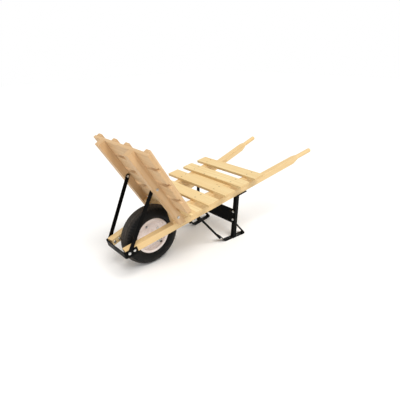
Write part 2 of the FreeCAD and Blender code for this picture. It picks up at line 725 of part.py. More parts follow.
def rim_half(label, side, valve_hole):
    """Pressed disc and bead seat, turned about the axle: half of a split rim."""
    body = new_body(label, wheel_frame())
    sketch = sketch_on(body, "XY_Plane", label + "_section")
    sign = "" if side > 0 else "-"
    t = "dims.rim_thick"
    outline(sketch, [
        ("dims.hub_radius", "0"), ("dims.disc_radius", "0"), ("dims.dish_start", f"{sign}dims.dish_step"),
        ("dims.dish_end", f"{sign}dims.dish_depth"), ("dims.bead_radius - 2", f"{sign}dims.seat_step"),
        ("dims.bead_radius", f"{sign}dims.bead_inner"),
        ("dims.bead_radius", f"{sign}dims.bead_offset"), ("dims.rim_flange", f"{sign}dims.bead_offset"),
        ("dims.rim_flange", f"{sign}(dims.bead_offset + {t})"),
        (f"dims.bead_radius + 2 - {t}", f"{sign}(dims.bead_offset + {t})"),
        (f"dims.bead_radius - {t}", f"{sign}(dims.bead_offset - 1)"),
        (f"dims.bead_radius - 2 - {t}", f"{sign}(dims.seat_step + {t})"),
        (f"dims.dish_end - {t} / 2", f"{sign}(dims.dish_depth + {t})"),
        (f"dims.dish_start - {t} / 2", f"{sign}(dims.dish_step + {t})"),
        ("dims.disc_radius - 1", f"{sign}{t}"), ("dims.hub_radius", f"{sign}{t}")])
    spun(body, sketch)
    return keep(label, minus(label, body, [rim_bolts] + valve_hole))


def tyre():
    """Round section open towards the rim, with straight bead sides."""
    body = new_body("tyre", wheel_frame())
    sketch = sketch_on(body, "XY_Plane", "tyre_section")
    middle = "(dims.tyre_radius - dims.tyre_half_width)"
    arc = "dims.tyre_side_arc"
    wall = "dims.tyre_wall"
    wide = "dims.tyre_half_width"
    outer = [("dims.bead_radius", "dims.bead_offset"),
             ("dims.bead_top", "dims.bead_offset", arc, f"{middle} - {arc} * sin(dims.bead_lean * 1 deg)",
              f"{wide} - {arc} + {arc} * cos(dims.bead_lean * 1 deg)"),
             (middle, wide, wide, f"{middle} + {wide} * sin(45 deg)", f"{wide} * cos(45 deg)"),
             ("dims.tyre_radius", "0", wide, f"{middle} + {wide} * sin(45 deg)", f"-{wide} * cos(45 deg)"),
             (middle, f"-{wide}", arc, f"{middle} - {arc} * sin(dims.bead_lean * 1 deg)",
              f"-{wide} + {arc} - {arc} * cos(dims.bead_lean * 1 deg)"),
             ("dims.bead_top", "-dims.bead_offset"), ("dims.bead_radius", "-dims.bead_offset"),
             ("dims.bead_radius", "-dims.bead_inner"), ("dims.bead_top", "-dims.bead_inner")]
    inner_wide = f"({wide} - {wall})"
    lean = "asin((dims.tyre_radius - dims.tyre_half_width - dims.bead_top) / dims.tyre_side_arc)"
    low_x = f"{middle} - ({arc} - {wall}) * sin({lean})"
    low_y = f"({wide} - {arc} + ({arc} - {wall}) * cos({lean}))"
    inner = [(low_x, f"-{low_y}", f"{arc} - {wall}",
              f"{middle} - ({arc} - {wall}) * sin(dims.bead_lean * 1 deg)",
              f"-{wide} + {arc} - ({arc} - {wall}) * cos(dims.bead_lean * 1 deg)"),
             (middle, f"-{inner_wide}", inner_wide, f"{middle} + {inner_wide} * sin(45 deg)",
              f"-{inner_wide} * cos(45 deg)"),
             (f"dims.tyre_radius - {wall}", "0", inner_wide, f"{middle} + {inner_wide} * sin(45 deg)",
              f"{inner_wide} * cos(45 deg)"),
             (middle, inner_wide, f"{arc} - {wall}",
              f"{middle} - ({arc} - {wall}) * sin(dims.bead_lean * 1 deg)",
              f"{wide} - {arc} + ({arc} - {wall}) * cos(dims.bead_lean * 1 deg)"),
             (low_x, low_y), ("dims.bead_top", "dims.bead_inner"), ("dims.bead_radius", "dims.bead_inner")]
    outline(sketch, outer + inner)
    spun(body, sketch)
    return keep("tyre", body)


def torus(label, radius):
    return primitive("Torus", label, along_y(0), Radius1="dims.tyre_radius - dims.tyre_half_width",
                     Radius2=radius)


def valve_frame(radius):
    """On the valve's radial line at a radius, with Z pointing to the hub."""
    spoke = moved(wheel_frame(), 0, -size("valve_offset"), 0, Rotation(y_axis, size("valve_angle")))
    return moved(spoke, radius, 0, 0, Rotation(y_axis, -90.0))


def rim_bolt_spots():
    """Four bolts that hold the two halves of the rim together."""
    spots = []
    for quarter in range(4):
        spoke = moved(wheel_frame(), 0, 0, 0, Rotation(y_axis, -size("rim_bolt_turn") - 90.0 * quarter))
        spots.append(moved(spoke, size("rim_bolt_circle"), -size("rim_thick"), 0, out_y[-1]))
    return spots


shaft = axle()
for name, side in sides.items():
    axle_bracket(name + "_axle_bracket", side, shaft)
    start = size("hub_half") + 0.4 if side > 0 else -size("spacer_end")
    keep(name + "_spacer", tube(name + "_spacer", start, "dims.spacer_radius", "dims.axle_radius",
                                "dims.spacer_end - dims.hub_half - 0.4"))
nuts = doc.addObject("Part::Compound", "axle_nut_pair")
nuts.Links = [axle_nut(side, size("nut_start")) for side in sides.values()]
doc.recompute()
keep("axle_nuts", minus("axle_nuts", nuts, [shaft]))

rim_bolts = group("rim_bolts", hex_bolt("rim_bolt", size("rim_bolt_length"), True), rim_bolt_spots())
keep("hub", tube("hub", -size("hub_half"), "dims.hub_radius", "dims.bearing_radius", "2 * dims.hub_half"))
for name, side in sides.items():
    start = size("hub_half") - size("bearing_width") if side > 0 else -size("hub_half")
    keep(name + "_bearing", tube(name + "_bearing", start, "dims.bearing_radius",
                                 "dims.axle_radius + dims.running_gap", "dims.bearing_width"))
stem = rod("stem_outer", valve_frame(size("valve_outer")), "dims.valve_radius",
           "dims.valve_outer - dims.valve_inner")
bore = rod("stem_bore", valve_frame(size("valve_outer")), "dims.valve_bore",
           "dims.valve_outer - dims.valve_inner")
keep("valve_stem", minus("valve_stem", stem, [bore]))
cap_base = valve_frame(size("valve_inner"))
keep("valve_cap", rod("valve_cap_body", cap_base, "dims.cap_radius", "dims.cap_length"))
rim_half("left_rim", -1, [stem])
rim_half("right_rim", 1, [])
tyre()
keep("inner_tube", minus("inner_tube", torus("tube_outer", "dims.tube_radius"),
                         [torus("tube_inner", "dims.tube_radius - dims.tube_wall"), stem]))


# Check everything, then write one file for each sub-part ----------------------------------------------

doc.recompute()
for item in doc.Objects:
    if "Invalid" in item.State or "Error" in item.State:
        raise RuntimeError(f"{item.Label}: {item.State}")
for label, item in parts.items():
    if item.Shape.isNull() or not item.Shape.isValid() or not item.Shape.Solids:
        raise RuntimeError(label + ": no valid shape")
os.makedirs("parts", exist_ok=True)
for label, item in parts.items():
    item.Shape.exportStep(f"parts/{label}.step")
print(len(parts), "sub-parts written")
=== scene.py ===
import math

import bpy
import bmesh
import numpy as np
from mathutils import Matrix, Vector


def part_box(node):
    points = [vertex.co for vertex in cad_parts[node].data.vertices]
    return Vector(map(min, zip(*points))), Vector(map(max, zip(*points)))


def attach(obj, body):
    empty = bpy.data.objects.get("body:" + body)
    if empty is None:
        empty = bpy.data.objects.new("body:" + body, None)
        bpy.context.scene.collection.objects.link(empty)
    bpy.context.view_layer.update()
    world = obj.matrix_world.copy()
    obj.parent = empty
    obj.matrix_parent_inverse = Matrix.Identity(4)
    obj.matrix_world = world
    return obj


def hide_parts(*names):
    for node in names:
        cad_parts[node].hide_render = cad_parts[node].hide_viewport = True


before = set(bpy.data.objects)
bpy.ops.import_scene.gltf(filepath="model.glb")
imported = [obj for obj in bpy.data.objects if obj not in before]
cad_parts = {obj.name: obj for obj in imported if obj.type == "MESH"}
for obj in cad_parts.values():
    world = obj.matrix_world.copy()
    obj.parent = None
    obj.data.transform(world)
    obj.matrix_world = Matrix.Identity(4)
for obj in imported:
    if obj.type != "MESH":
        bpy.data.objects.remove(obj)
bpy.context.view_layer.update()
print("frame loaded:", len(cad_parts), "nodes")

mm = 0.001
sides = {"left": -1, "right": 1}
dice = np.random.default_rng(7)


# directions of the sloping pieces, degrees
slopes = {"railSplay": 7.4, "railRise": 10.86, "deckTilt": 6.64, "rackLean": 29.6, "postToe": 1.0}


def turn(axis, degrees):  # rotation matrix about one world axis, its columns are the turned axes
    c, s = math.cos(math.radians(degrees)), math.sin(math.radians(degrees))
    return np.array({"x": [[1, 0, 0], [0, c, -s], [0, s, c]],
                     "y": [[c, 0, s], [0, 1, 0], [-s, 0, c]],
                     "z": [[c, -s, 0], [s, c, 0], [0, 0, 1]]}[axis])


level = turn("y", -slopes["railRise"])
railAxes = {side: turn("z", side * slopes["railSplay"]) @ level for side in sides.values()}
deckAxes = turn("y", -slopes["deckTilt"])
rackAxes = turn("y", -slopes["rackLean"])
postAxes = {side: rackAxes @ turn("x", side * slopes["postToe"]) for side in sides.values()}
footAxes = {side: turn("z", side * slopes["railSplay"]) for side in sides.values()}


def nodePoints(name):  # a node's own vertices as an array
    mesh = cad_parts[name].data
    flat = np.zeros(len(mesh.vertices) * 3, np.float32)
    mesh.vertices.foreach_get("co", flat)
    return flat.reshape(-1, 3).astype(float)


def localBox(name, axes):  # lowest and highest corner along turned axes
    points = nodePoints(name) @ axes
    return points.min(0), points.max(0)


def gridFaces(rows, columns, wrapRows=False):  # quads of a grid whose columns close on themselves
    row, column = np.meshgrid(np.arange(rows if wrapRows else rows - 1), np.arange(columns), indexing="ij")
    nextRow, nextColumn = (row + 1) % rows, (column + 1) % columns
    corners = [row * columns + column, row * columns + nextColumn,
               nextRow * columns + nextColumn, nextRow * columns + column]
    return np.stack(corners, -1).reshape(-1, 4)


def skin(rings, loop=False):  # rings (n, k, 3) joined by quads, each open end closed by a fan to its middle
    n, k, _ = rings.shape
    points = rings.reshape(-1, 3)
    faces = gridFaces(n, k, loop).tolist()
    if not loop:
        points = np.concatenate([points, rings[0].mean(0)[None], rings[-1].mean(0)[None]])
        here = np.arange(k)
        after = (here + 1) % k
        faces += np.stack([here, after, np.full(k, n * k)], -1).tolist()
        faces += np.stack([here + (n - 1) * k, after + (n - 1) * k, np.full(k, n * k + 1)], -1).tolist()
    return points, faces


def joined(surfaces):  # several surfaces as one list of points and faces
    points, faces, start = [], [], 0
    for some, quads in surfaces:
        points.append(some)
        faces += [[i + start for i in face] for face in quads]
        start += len(some)
    return np.concatenate(points), faces


def easedRings(halfWide, halfTall, ease, arc=4, flat=1):
    # rectangle with quarter-circle corners: corner centre plus ease times (cos, sin), then points
    # along the flats
    corner = np.arange(4).repeat(arc + 1)
    angle = (corner + np.tile(np.linspace(0, 1, arc + 1), 4)) * math.pi / 2
    signX, signY = np.array([1, -1, -1, 1])[corner], np.array([1, 1, -1, -1])[corner]
    wide, tall, soft = (np.atleast_1d(v).astype(float)[:, None] for v in (halfWide, halfTall, ease))
    x = signX * (wide - soft) + soft * np.cos(angle)
    y = signY * (tall - soft) + soft * np.sin(angle)
    ring = np.stack(np.broadcast_arrays(x, y), -1)
    index = np.arange(4 * (arc + 1))
    last = index % (arc + 1) == arc
    start = np.concatenate([index, index[last].repeat(flat)])
    share = np.concatenate([np.zeros(len(index)), np.tile(np.arange(1, flat + 1) / (flat + 1), 4)])
    order = np.argsort(start + share * 0.999, kind="stable")
    start, share = start[order], share[order][None, :, None]
    return ring[:, start] * (1 - share) + ring[:, (start + 1) % len(index)] * share


def endEase(low, high, ease, steps=3):
    # stations of a bar and how far each ring is inset: quarter circles at both ends
    angle = np.linspace(0, math.pi / 2, steps + 1)
    along, inset = ease * (1 - np.cos(angle)), ease * (1 - np.sin(angle))
    return np.concatenate([low + along, (high - along)[::-1]]), np.concatenate([inset, inset[::-1]])


def roundCorners(path, radius, steps=5):
    # each inner corner becomes an arc tangent to both runs: a circle's points between the two touching points
    path = np.asarray(path, float)
    out = [path[:1]]
    for before, corner, after in zip(path[:-2], path[1:-1], path[2:]):
        a, b = before - corner, after - corner
        lengthA, lengthB = np.linalg.norm(a), np.linalg.norm(b)
        a, b = a / lengthA, b / lengthB
        half = math.acos(float(np.clip(a @ b, -1, 1))) / 2
        reach = min(radius / math.tan(half), 0.45 * lengthA, 0.45 * lengthB)
        r = reach * math.tan(half)
        middle = (a + b) / np.linalg.norm(a + b)
        centre = corner + middle * r / math.sin(half)
        one, two = corner + a * reach - centre, corner + b * reach - centre
        sweep = math.pi - 2 * half
        t = np.linspace(0, 1, steps + 1)[:, None]
        out.append(centre + (one * np.sin((1 - t) * sweep) + two * np.sin(t * sweep)) / math.sin(sweep))
    out.append(path[-1:])
    return np.concatenate(out)


def tangents(path):  # unit direction at each point of a path
    step = np.gradient(path, axis=0)
    return step / np.linalg.norm(step, axis=1, keepdims=True)


def strap(path, across, wide, thick, ease=0.6 * mm, roundEnds=False):
    # flat bar: an eased rectangle carried along the path, its width along a fixed direction
    path = np.asarray(path, float)
    lengths = np.concatenate([[0], np.cumsum(np.linalg.norm(np.diff(path, axis=0), axis=1))])
    reach = wide / 2 if roundEnds else 2 * ease
    ends = reach * (1 - np.cos(np.linspace(0, math.pi / 2, 9 if roundEnds else 3)))
    inner = lengths[(lengths > reach) & (lengths < lengths[-1] - reach)]
    at = np.unique(np.concatenate([ends, inner, lengths[-1] - ends]))
    spot = np.stack([np.interp(at, lengths, path[:, i]) for i in range(3)], -1)
    along = tangents(spot)
    across = np.asarray(across, float) / np.linalg.norm(across)
    outward = np.cross(along, across)
    outward /= np.linalg.norm(outward, axis=1, keepdims=True)
    edge = np.minimum(at, lengths[-1] - at)
    if roundEnds:
        share = np.clip(edge / reach, 0, 1)
        half = np.maximum(wide / 2 * np.sqrt(1 - (1 - share) ** 2), 1.2 * mm)
        thin = np.full(len(at), thick / 2)
        thin[[0, -1]] -= 0.4 * ease
    else:
        inset = ease * (1 - np.sin(np.clip(edge / reach, 0, 1) * math.pi / 2))
        half, thin = wide / 2 - inset, thick / 2 - inset
    ring = easedRings(half, thin, np.minimum(ease, 0.9 * np.minimum(half, thin)), 3, 1)
    return skin(spot[:, None] + ring[..., :1] * across + ring[..., 1:] * outward[:, None])


def twoAcross(axis):  # two unit directions square to an axis
    axis = np.asarray(axis, float) / np.linalg.norm(axis)
    helper = np.array([1.0, 0, 0]) if abs(axis[0]) < 0.8 else np.array([0, 1.0, 0])
    one = np.cross(axis, helper)
    one /= np.linalg.norm(one)
    return axis, one, np.cross(axis, one)


def revolve(radius, height, origin, axis, steps=48, loop=False):
    # ring i is the origin plus the axis times its height plus radius times (cos, sin) of the angle
    # round the axis
    axis, one, two = twoAcross(axis)
    angle = np.arange(steps) / steps * 2 * math.pi
    radius, height = (np.asarray(v, float) for v in (radius, height))
    radius = radius if radius.ndim == 2 else radius[:, None].repeat(steps, 1)
    height = height if height.ndim == 2 else height[:, None].repeat(steps, 1)
    circle = np.cos(angle)[:, None] * one + np.sin(angle)[:, None] * two
    return skin(np.asarray(origin) + height[..., None] * axis + radius[..., None] * circle, loop)


def hexagon(origin, axis, corner, tall, washer, twist=0.0, hollow=0.0):
    # bolt head on its washer: a hexagon's polar radius, flat over cos of the angle from the nearest flat,
    # whose top corners fall away as a 30 degree cone
    steps = 48
    angle = (np.arange(steps) / steps * 2 * math.pi + twist) % (math.pi / 3) - math.pi / 6
    flat = corner * math.cos(math.pi / 6)
    six = flat / np.cos(angle)
    crown = np.full(steps, 0.93 * flat)
    top = tall - (six - crown) * math.tan(math.pi / 6)
    plate = 0.22 * tall
    flatRing = np.ones(steps)
    rings = [(flatRing * max(hollow, 0.2 * mm), 0 * flatRing), (washer * 0.97 * flatRing, 0 * flatRing),
             (washer * flatRing, 0.3 * plate * flatRing), (washer * flatRing, 0.75 * plate * flatRing),
             (washer * 0.95 * flatRing, plate * flatRing), (six, plate * flatRing), (six * 0.999,
                                                                                     top - 0.1 * mm),
             (six * 0.97, top + 0.2 * mm), (crown, tall * flatRing),
             (np.maximum(crown * 0.55, hollow) * flatRing, (tall - 0.05 * mm) * flatRing)]
    if hollow:
        rings.append((hollow * flatRing, (tall - 0.05 * mm) * flatRing))
    radius, height = (np.stack(v) for v in zip(*rings))
    return revolve(radius, height, origin, axis, steps, bool(hollow))


def piece(name, surface, material, body, nodes, sharp=35, even=False, grain=None):
    # points and faces as a finished object on its body, standing for its nodes
    points, faces = surface
    mesh = bpy.data.meshes.new(name)
    mesh.from_pydata(points.tolist(), [], faces)
    work = bmesh.new()
    work.from_mesh(mesh)
    bmesh.ops.remove_doubles(work, verts=work.verts, dist=1e-6)
    bmesh.ops.recalc_face_normals(work, faces=work.faces)
    work.to_mesh(mesh)
    work.free()
    return finished(name, mesh, material, body, nodes, sharp, even, grain)


def finished(name, mesh, material, body, nodes, sharp=35, even=False, grain=None):
    mesh.shade_smooth()
    mesh.set_sharp_from_angle(angle=math.radians(sharp))
    mesh.materials.append(material)
    item = bpy.data.objects.new(name, mesh)
    bpy.context.scene.collection.objects.link(item)
    if grain is not None:
        storeGrain(mesh, *grain)
    if even:
        item.modifiers.new("evenShading", "WEIGHTED_NORMAL").keep_sharp = True
    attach(item, body)
    if nodes:
        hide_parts(*nodes)
    return item


def storeGrain(mesh, axes, order, shift):
    # place in the log: along the grain, then across it, moved to this piece's own spot in the tree
    flat = np.zeros(len(mesh.vertices) * 3)
    mesh.vertices.foreach_get("co", flat)
    place = (flat.reshape(-1, 3) @ axes)[:, order]
    place = place - (place.min(0) + place.max(0)) / 2
    near = np.abs(place[:, 0]).max() - np.abs(place[:, 0])
    mesh.attributes.new("grainPlace", "FLOAT_VECTOR", "POINT").data.foreach_set("vector",
                                                                                (place + shift).ravel())
    end = mesh.attributes.new("endGrain", "FLOAT", "POINT")
    end.data.foreach_set("value", np.clip(1 - near / (1.5 * mm), 0, 1))


def logPlace():  # where in the tree a board was sawn: far along it, 30 to 80 mm from the pith
    angle = dice.uniform(0, 2 * math.pi)
    away = dice.uniform(0.03, 0.08)
    return np.array([dice.uniform(0, 40), away * math.cos(angle), away * math.sin(angle)])


def easedCopy(name, material, body, ease, piecesName=None, grain=None, sharp=35):
    # the node's own shape, merged and planed flat, with its edges broken by a narrow bevel
    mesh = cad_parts[name].data.copy()
    mesh.materials.clear()
    work = bmesh.new()
    work.from_mesh(mesh)
    bmesh.ops.remove_doubles(work, verts=work.verts, dist=2e-5)
    bmesh.ops.dissolve_limit(work, angle_limit=math.radians(0.6), verts=work.verts, edges=work.edges)
    work.to_mesh(mesh)
    work.free()
    for extra in [a.name for a in mesh.attributes if a.name.startswith(("custom", "sharp"))]:
        mesh.attributes.remove(mesh.attributes[extra])
    item = finished(piecesName or name + "Eased", mesh, material, body, [name], sharp, False, grain)
    if "sharp_edge" in mesh.attributes:
        mesh.attributes.remove(mesh.attributes["sharp_edge"])
    edge = item.modifiers.new("brokenEdges", "BEVEL")
    edge.width, edge.segments, edge.limit_method = ease, 2, "ANGLE"
    edge.angle_limit = math.radians(40)
    edge.use_clamp_overlap = True
    item.modifiers.new("evenShading", "WEIGHTED_NORMAL")
    return item


def fromHex(code):  # sRGB hex to linear
    parts = np.array([int(code[i:i + 2], 16) for i in (0, 2, 4)]) / 255
    linear = np.where(parts <= 0.04045, parts / 12.92, ((parts + 0.055) / 1.055) ** 2.4)
    return (*linear.tolist(), 1.0)


def add(tree, kind, settings=None, values=None, links=None):
    # one node with its settings, constants and links
    node = tree.nodes.new(kind)
    for key, value in (settings or {}).items():
        setattr(node, key, value)
    for key, value in (values or {}).items():
        node.inputs[key].default_value = value
    for key, source in (links or {}).items():
        tree.links.new(source, node.inputs[key])
    return node


def newMaterial(name):
    material = bpy.data.materials.new(name)
    material.use_nodes = True
    tree = material.node_tree
    tree.nodes.clear()
    shader = add(tree, "ShaderNodeBsdfPrincipled")
    add(tree, "ShaderNodeOutputMaterial", links={"Surface": shader.outputs[0]})
    return material, tree, shader


def patterns(tree, place, table):
    # noise for each named pattern: (scale along each axis, detail, roughness), cells of 1 / scale metres
    found = {}
    for name, (scale, detail, rough) in table.items():
        spot = add(tree, "ShaderNodeMapping", values={"Scale": scale}, links={"Vector": place}).outputs[0]
        found[name] = add(tree, "ShaderNodeTexNoise",
                          values={"Scale": 1.0, "Detail": detail, "Roughness": rough},
                          links={"Vector": spot})
    return found


smoothStep = {"interpolation_type": "SMOOTHSTEP"}


def span(low, high, outLow=0.0, outHigh=1.0):  # limits that carry one range to another
    return {"From Min": low, "From Max": high, "To Min": outLow, "To Max": outHigh}


def layered(tree, base, coats):  # a base colour under coats, each as strong as its mask times its share
    under = None
    for mask, code, share in coats:
        strength = add(tree, "ShaderNodeMath", {"operation": "MULTIPLY"}, {1: share}, {0: mask}).outputs[0]
        coat = add(tree, "ShaderNodeMix", {"data_type": "RGBA"}, {6: fromHex(base), 7: fromHex(code)},
                   {0: strength})
        if under is not None:
            tree.links.new(under, coat.inputs[6])
        under = coat.outputs[2]
    return under


def surfaced(tree, shader, colour, rough, height, strength, depth):
    # colour, roughness and relief on a shader
    tree.links.new(colour, shader.inputs["Base Color"])
    tree.links.new(rough, shader.inputs["Roughness"])
    bump = add(tree, "ShaderNodeBump", values={"Strength": strength, "Distance": depth},
               links={"Height": height})
    tree.links.new(bump.outputs[0], shader.inputs["Normal"])


def pine(name, look):
    # planed pine, clear sealed: pale early wood with thin orange late wood lines 6 to 7 mm apart, few
    # small knots
    material, tree, shader = newMaterial(name)
    place = add(tree, "ShaderNodeAttribute", {"attribute_name": "grainPlace"}).outputs["Vector"]
    noise = patterns(tree, place, {"sway": ((2.2, 9, 9), 2.0, 0.5), "fibre": ((9, 330, 330), 3.0, 0.6),
                                   "streak": ((1.1, 55, 55), 3.0, 0.5), "blotch": ((2.5, 8, 8), 2.0, 0.5)})
    swayed = add(tree, "ShaderNodeVectorMath", {"operation": "MULTIPLY_ADD"}, {1: (look["sway"],) * 3},
                 {0: noise["sway"].outputs["Color"], 2: place}).outputs[0]
    rings = add(tree, "ShaderNodeTexWave",
                {"wave_type": "RINGS", "rings_direction": "X", "wave_profile": "SAW"},
                {"Scale": 2 * math.pi / (20 * look["ringGap"]), "Distortion": 0.0},
                {"Vector": swayed}).outputs["Fac"]
    fibre, streak, blotch = (noise[key].outputs[0] for key in ("fibre", "streak", "blotch"))
    knotPlace = add(tree, "ShaderNodeMapping", values={"Scale": (3.2, 8.5, 0.01)}, links={"Vector": place})
    knot = add(tree, "ShaderNodeTexVoronoi", values={"Scale": 1.0}, links={"Vector": knotPlace.outputs[0]})
    knotMask = add(tree, "ShaderNodeMapRange", smoothStep, span(0.022, 0.06, 1.0, 0.0),
                   {"Value": knot.outputs["Distance"]}).outputs[0]
    lateWood = add(tree, "ShaderNodeMapRange", smoothStep, span(0.35, 1.0), {"Value": rings}).outputs[0]
    streaks = add(tree, "ShaderNodeMapRange", smoothStep, span(0.38, 0.68), {"Value": streak}).outputs[0]
    blotches = add(tree, "ShaderNodeMapRange", smoothStep, span(0.35, 0.7), {"Value": blotch}).outputs[0]
    fibres = add(tree, "ShaderNodeMapRange", smoothStep, span(0.5, 0.8), {"Value": fibre}).outputs[0]
    end = add(tree, "ShaderNodeAttribute", {"attribute_name": "endGrain"}).outputs["Fac"]
    colour = layered(tree, look["pale"], [
        (lateWood, look["grain"], look["contrast"]), (streaks, look["streak"], 0.45),
        (blotches, look["warm"], 0.4), (fibres, look["fibre"], 0.3),
        (knotMask, look["knot"], look["knots"]), (end, look["end"], 0.42)])
    rough = add(tree, "ShaderNodeMapRange", smoothStep,
                span(0.3, 0.7, look["rough"] - 0.08, look["rough"] + 0.08),
                {"Value": fibre}).outputs[0]
    relief = add(tree, "ShaderNodeMath", {"operation": "MULTIPLY_ADD"}, {1: 0.5}, {0: lateWood, 2: fibre})
    surfaced(tree, shader, colour, rough, relief.outputs[0], 0.35, 0.5 * mm)
    shader.inputs["Specular IOR Level"].default_value = 0.35
    return material


def paintedSteel(name, look):
    # steel strap, dipped in black enamel: faint orange peel, dust film, rubbed bare near the ground
    material, tree, shader = newMaterial(name)
    place = add(tree, "ShaderNodeTexCoord").outputs["Object"]
    noise = patterns(tree, place, {"film": ((14, 14, 14), 4.0, 0.6), "chips": ((95, 95, 95), 5.0, 0.7),
                                   "peel": ((420, 420, 420), 2.0, 0.5)})
    film, chips, peel = (noise[key].outputs[0] for key in ("film", "chips", "peel"))
    height = add(tree, "ShaderNodeSeparateXYZ", links={0: place}).outputs[2]
    ground = add(tree, "ShaderNodeMapRange", smoothStep, span(1 * mm, 20 * mm, 1.0, 0.0),
                 {"Value": height}).outputs[0]
    rubbed = add(tree, "ShaderNodeMapRange", smoothStep, span(0.54, 0.66), {"Value": chips}).outputs[0]
    scuff = add(tree, "ShaderNodeMath", {"operation": "MULTIPLY"}, links={0: ground, 1: rubbed}).outputs[0]
    dusty = add(tree, "ShaderNodeMapRange", smoothStep, span(0.45, 0.75), {"Value": film}).outputs[0]
    chipped = add(tree, "ShaderNodeMapRange", smoothStep, span(0.66, 0.74), {"Value": chips}).outputs[0]
    colour = layered(tree, look["paint"], [(dusty, look["dust"], 0.5), (chipped, look["primer"], 0.5),
                                           (scuff, look["bare"], 0.8)])
    rough = add(tree, "ShaderNodeMapRange", smoothStep,
                span(0.35, 0.75, look["rough"] - 0.06, look["rough"] + 0.16),
                {"Value": film}).outputs[0]
    surfaced(tree, shader, colour, rough, peel, 0.25, 0.3 * mm)
    shader.inputs["Specular IOR Level"].default_value = look["gloss"]
    return material


def brightMetal(name, look):
    # zinc-plated or turned steel: blotched grey plate with fine scratches
    material, tree, shader = newMaterial(name)
    place = add(tree, "ShaderNodeTexCoord").outputs["Object"]
    noise = patterns(tree, place,
                     {"cloud": ((160, 160, 160), 3.0, 0.5), "scratch": ((900, 120, 900), 2.0, 0.5)})
    cloud, scratch = (noise[key].outputs[0] for key in ("cloud", "scratch"))
    dulled = add(tree, "ShaderNodeMapRange", smoothStep, span(0.35, 0.7), {"Value": cloud}).outputs[0]
    rough = add(tree, "ShaderNodeMapRange", smoothStep,
                span(0.3, 0.7, look["rough"] - 0.08, look["rough"] + 0.14),
                {"Value": cloud}).outputs[0]
    colour = layered(tree, look["bright"], [(dulled, look["dull"], 1.0)])
    surfaced(tree, shader, colour, rough, scratch, 0.2, 0.2 * mm)
    shader.inputs["Metallic"].default_value = look["metallic"]
    return material


def powderCoat(name, look):
    # rim of pressed steel, powder coated: satin off-white, faint texture and road dust
    material, tree, shader = newMaterial(name)
    place = add(tree, "ShaderNodeTexCoord").outputs["Object"]
    noise = patterns(tree, place, {"dirt": ((30, 30, 30), 5.0, 0.65), "grit": ((380, 380, 380), 2.0, 0.5)})
    dirt, grit = (noise[key].outputs[0] for key in ("dirt", "grit"))
    dusty = add(tree, "ShaderNodeMapRange", smoothStep, span(0.42, 0.78), {"Value": dirt}).outputs[0]
    rough = add(tree, "ShaderNodeMapRange", smoothStep,
                span(0.35, 0.75, look["rough"] - 0.05, look["rough"] + 0.18),
                {"Value": dirt}).outputs[0]
    surfaced(tree, shader, layered(tree, look["coat"], [(dusty, look["dust"], 0.55)]), rough, grit, 0.15,
             0.3 * mm)
    return material


def rubber(name, look):
    # vulcanised black rubber: satin sidewalls, a lighter brown-grey on the tread that is partly dust held by
    # it and partly painted sheen, moulded micro texture
    material, tree, shader = newMaterial(name)
    place = add(tree, "ShaderNodeTexCoord").outputs["Object"]
    fromHub = add(tree, "ShaderNodeVectorMath", {"operation": "SUBTRACT"}, {1: look["centre"]}, {0: place})
    spoke = add(tree, "ShaderNodeVectorMath", {"operation": "MULTIPLY"}, {1: (1, 0, 1)},
                {0: fromHub.outputs[0]})
    radius = add(tree, "ShaderNodeVectorMath", {"operation": "LENGTH"},
                 links={0: spoke.outputs[0]}).outputs["Value"]
    noise = patterns(tree, place, {"dust": ((40, 40, 40), 5.0, 0.65), "grain": ((600, 600, 600), 2.0, 0.5)})
    dust, grain = (noise[key].outputs[0] for key in ("dust", "grain"))
    tread = add(tree, "ShaderNodeMapRange", smoothStep, span(look["treadFrom"], look["treadFull"]),
                {"Value": radius}).outputs[0]
    patchy = add(tree, "ShaderNodeMapRange", smoothStep, span(0.25, 0.7, 0.45, 1.0),
                 {"Value": dust}).outputs[0]
    # the lighter tread colour: partly dust held in the tread, partly painted sheen
    treadDustAndSheen = add(tree, "ShaderNodeMath", {"operation": "MULTIPLY"}, links={0: tread, 1: patchy}).outputs[0]
    filmed = add(tree, "ShaderNodeMapRange", smoothStep, span(0.4, 0.75), {"Value": dust}).outputs[0]
    rough = add(tree, "ShaderNodeMapRange", smoothStep,
                span(0.3, 0.7, look["rough"] - 0.07, look["rough"] + 0.15),
                {"Value": dust}).outputs[0]
    colour = layered(tree, look["black"], [(filmed, look["film"], 0.35), (treadDustAndSheen, look["dust"], look["dusty"])])
    surfaced(tree, shader, colour, rough, grain, 0.3, 0.3 * mm)
    shader.inputs["Specular IOR Level"].default_value = look["gloss"]
    return material


wheelLow, wheelHigh = (np.array(v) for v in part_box("tyre"))
wheelCentre = (wheelLow + wheelHigh) / 2

deckLook = {"pale": "eed7a3", "grain": "cc9f5f", "streak": "e0bc81", "warm": "e6c58b", "fibre": "b88c54",
            "knot": "9a6534", "end": "c59a60", "ringGap": 7 * mm, "sway": 22 * mm, "contrast": 0.5,
            "knots": 0.55, "rough": 0.55}
railLook = {"pale": "ebcf9c", "grain": "ca9b58", "streak": "dcb67a", "warm": "e3bf83", "fibre": "b4864e",
            "knot": "8f5c2e", "end": "bd9158", "ringGap": 6 * mm, "sway": 22 * mm, "contrast": 0.5,
            "knots": 0.5, "rough": 0.5}
rackLook = {"pale": "e0c096", "grain": "be9463", "streak": "cfa97a", "warm": "d6b183", "fibre": "a87f54",
            "knot": "8a5a33", "end": "c79c6a", "ringGap": 7 * mm, "sway": 22 * mm, "contrast": 0.5,
            "knots": 0.5, "rough": 0.55}
deckPine = pine("pineDeckBoards", deckLook)
railPine = pine("pineRails", railLook)
rackPine = pine("pineRackTimber", rackLook)
blackEnamel = paintedSteel("blackEnamelOnSteel", {"paint": "060606", "dust": "0f0e0c", "primer": "1e1915",
                                                  "bare": "8d8a84", "rough": 0.46, "gloss": 0.06})
zincPlate = brightMetal("zincPlatedBolts",
                        {"bright": "dcdcda", "dull": "a9aaa9", "rough": 0.3, "metallic": 1.0})
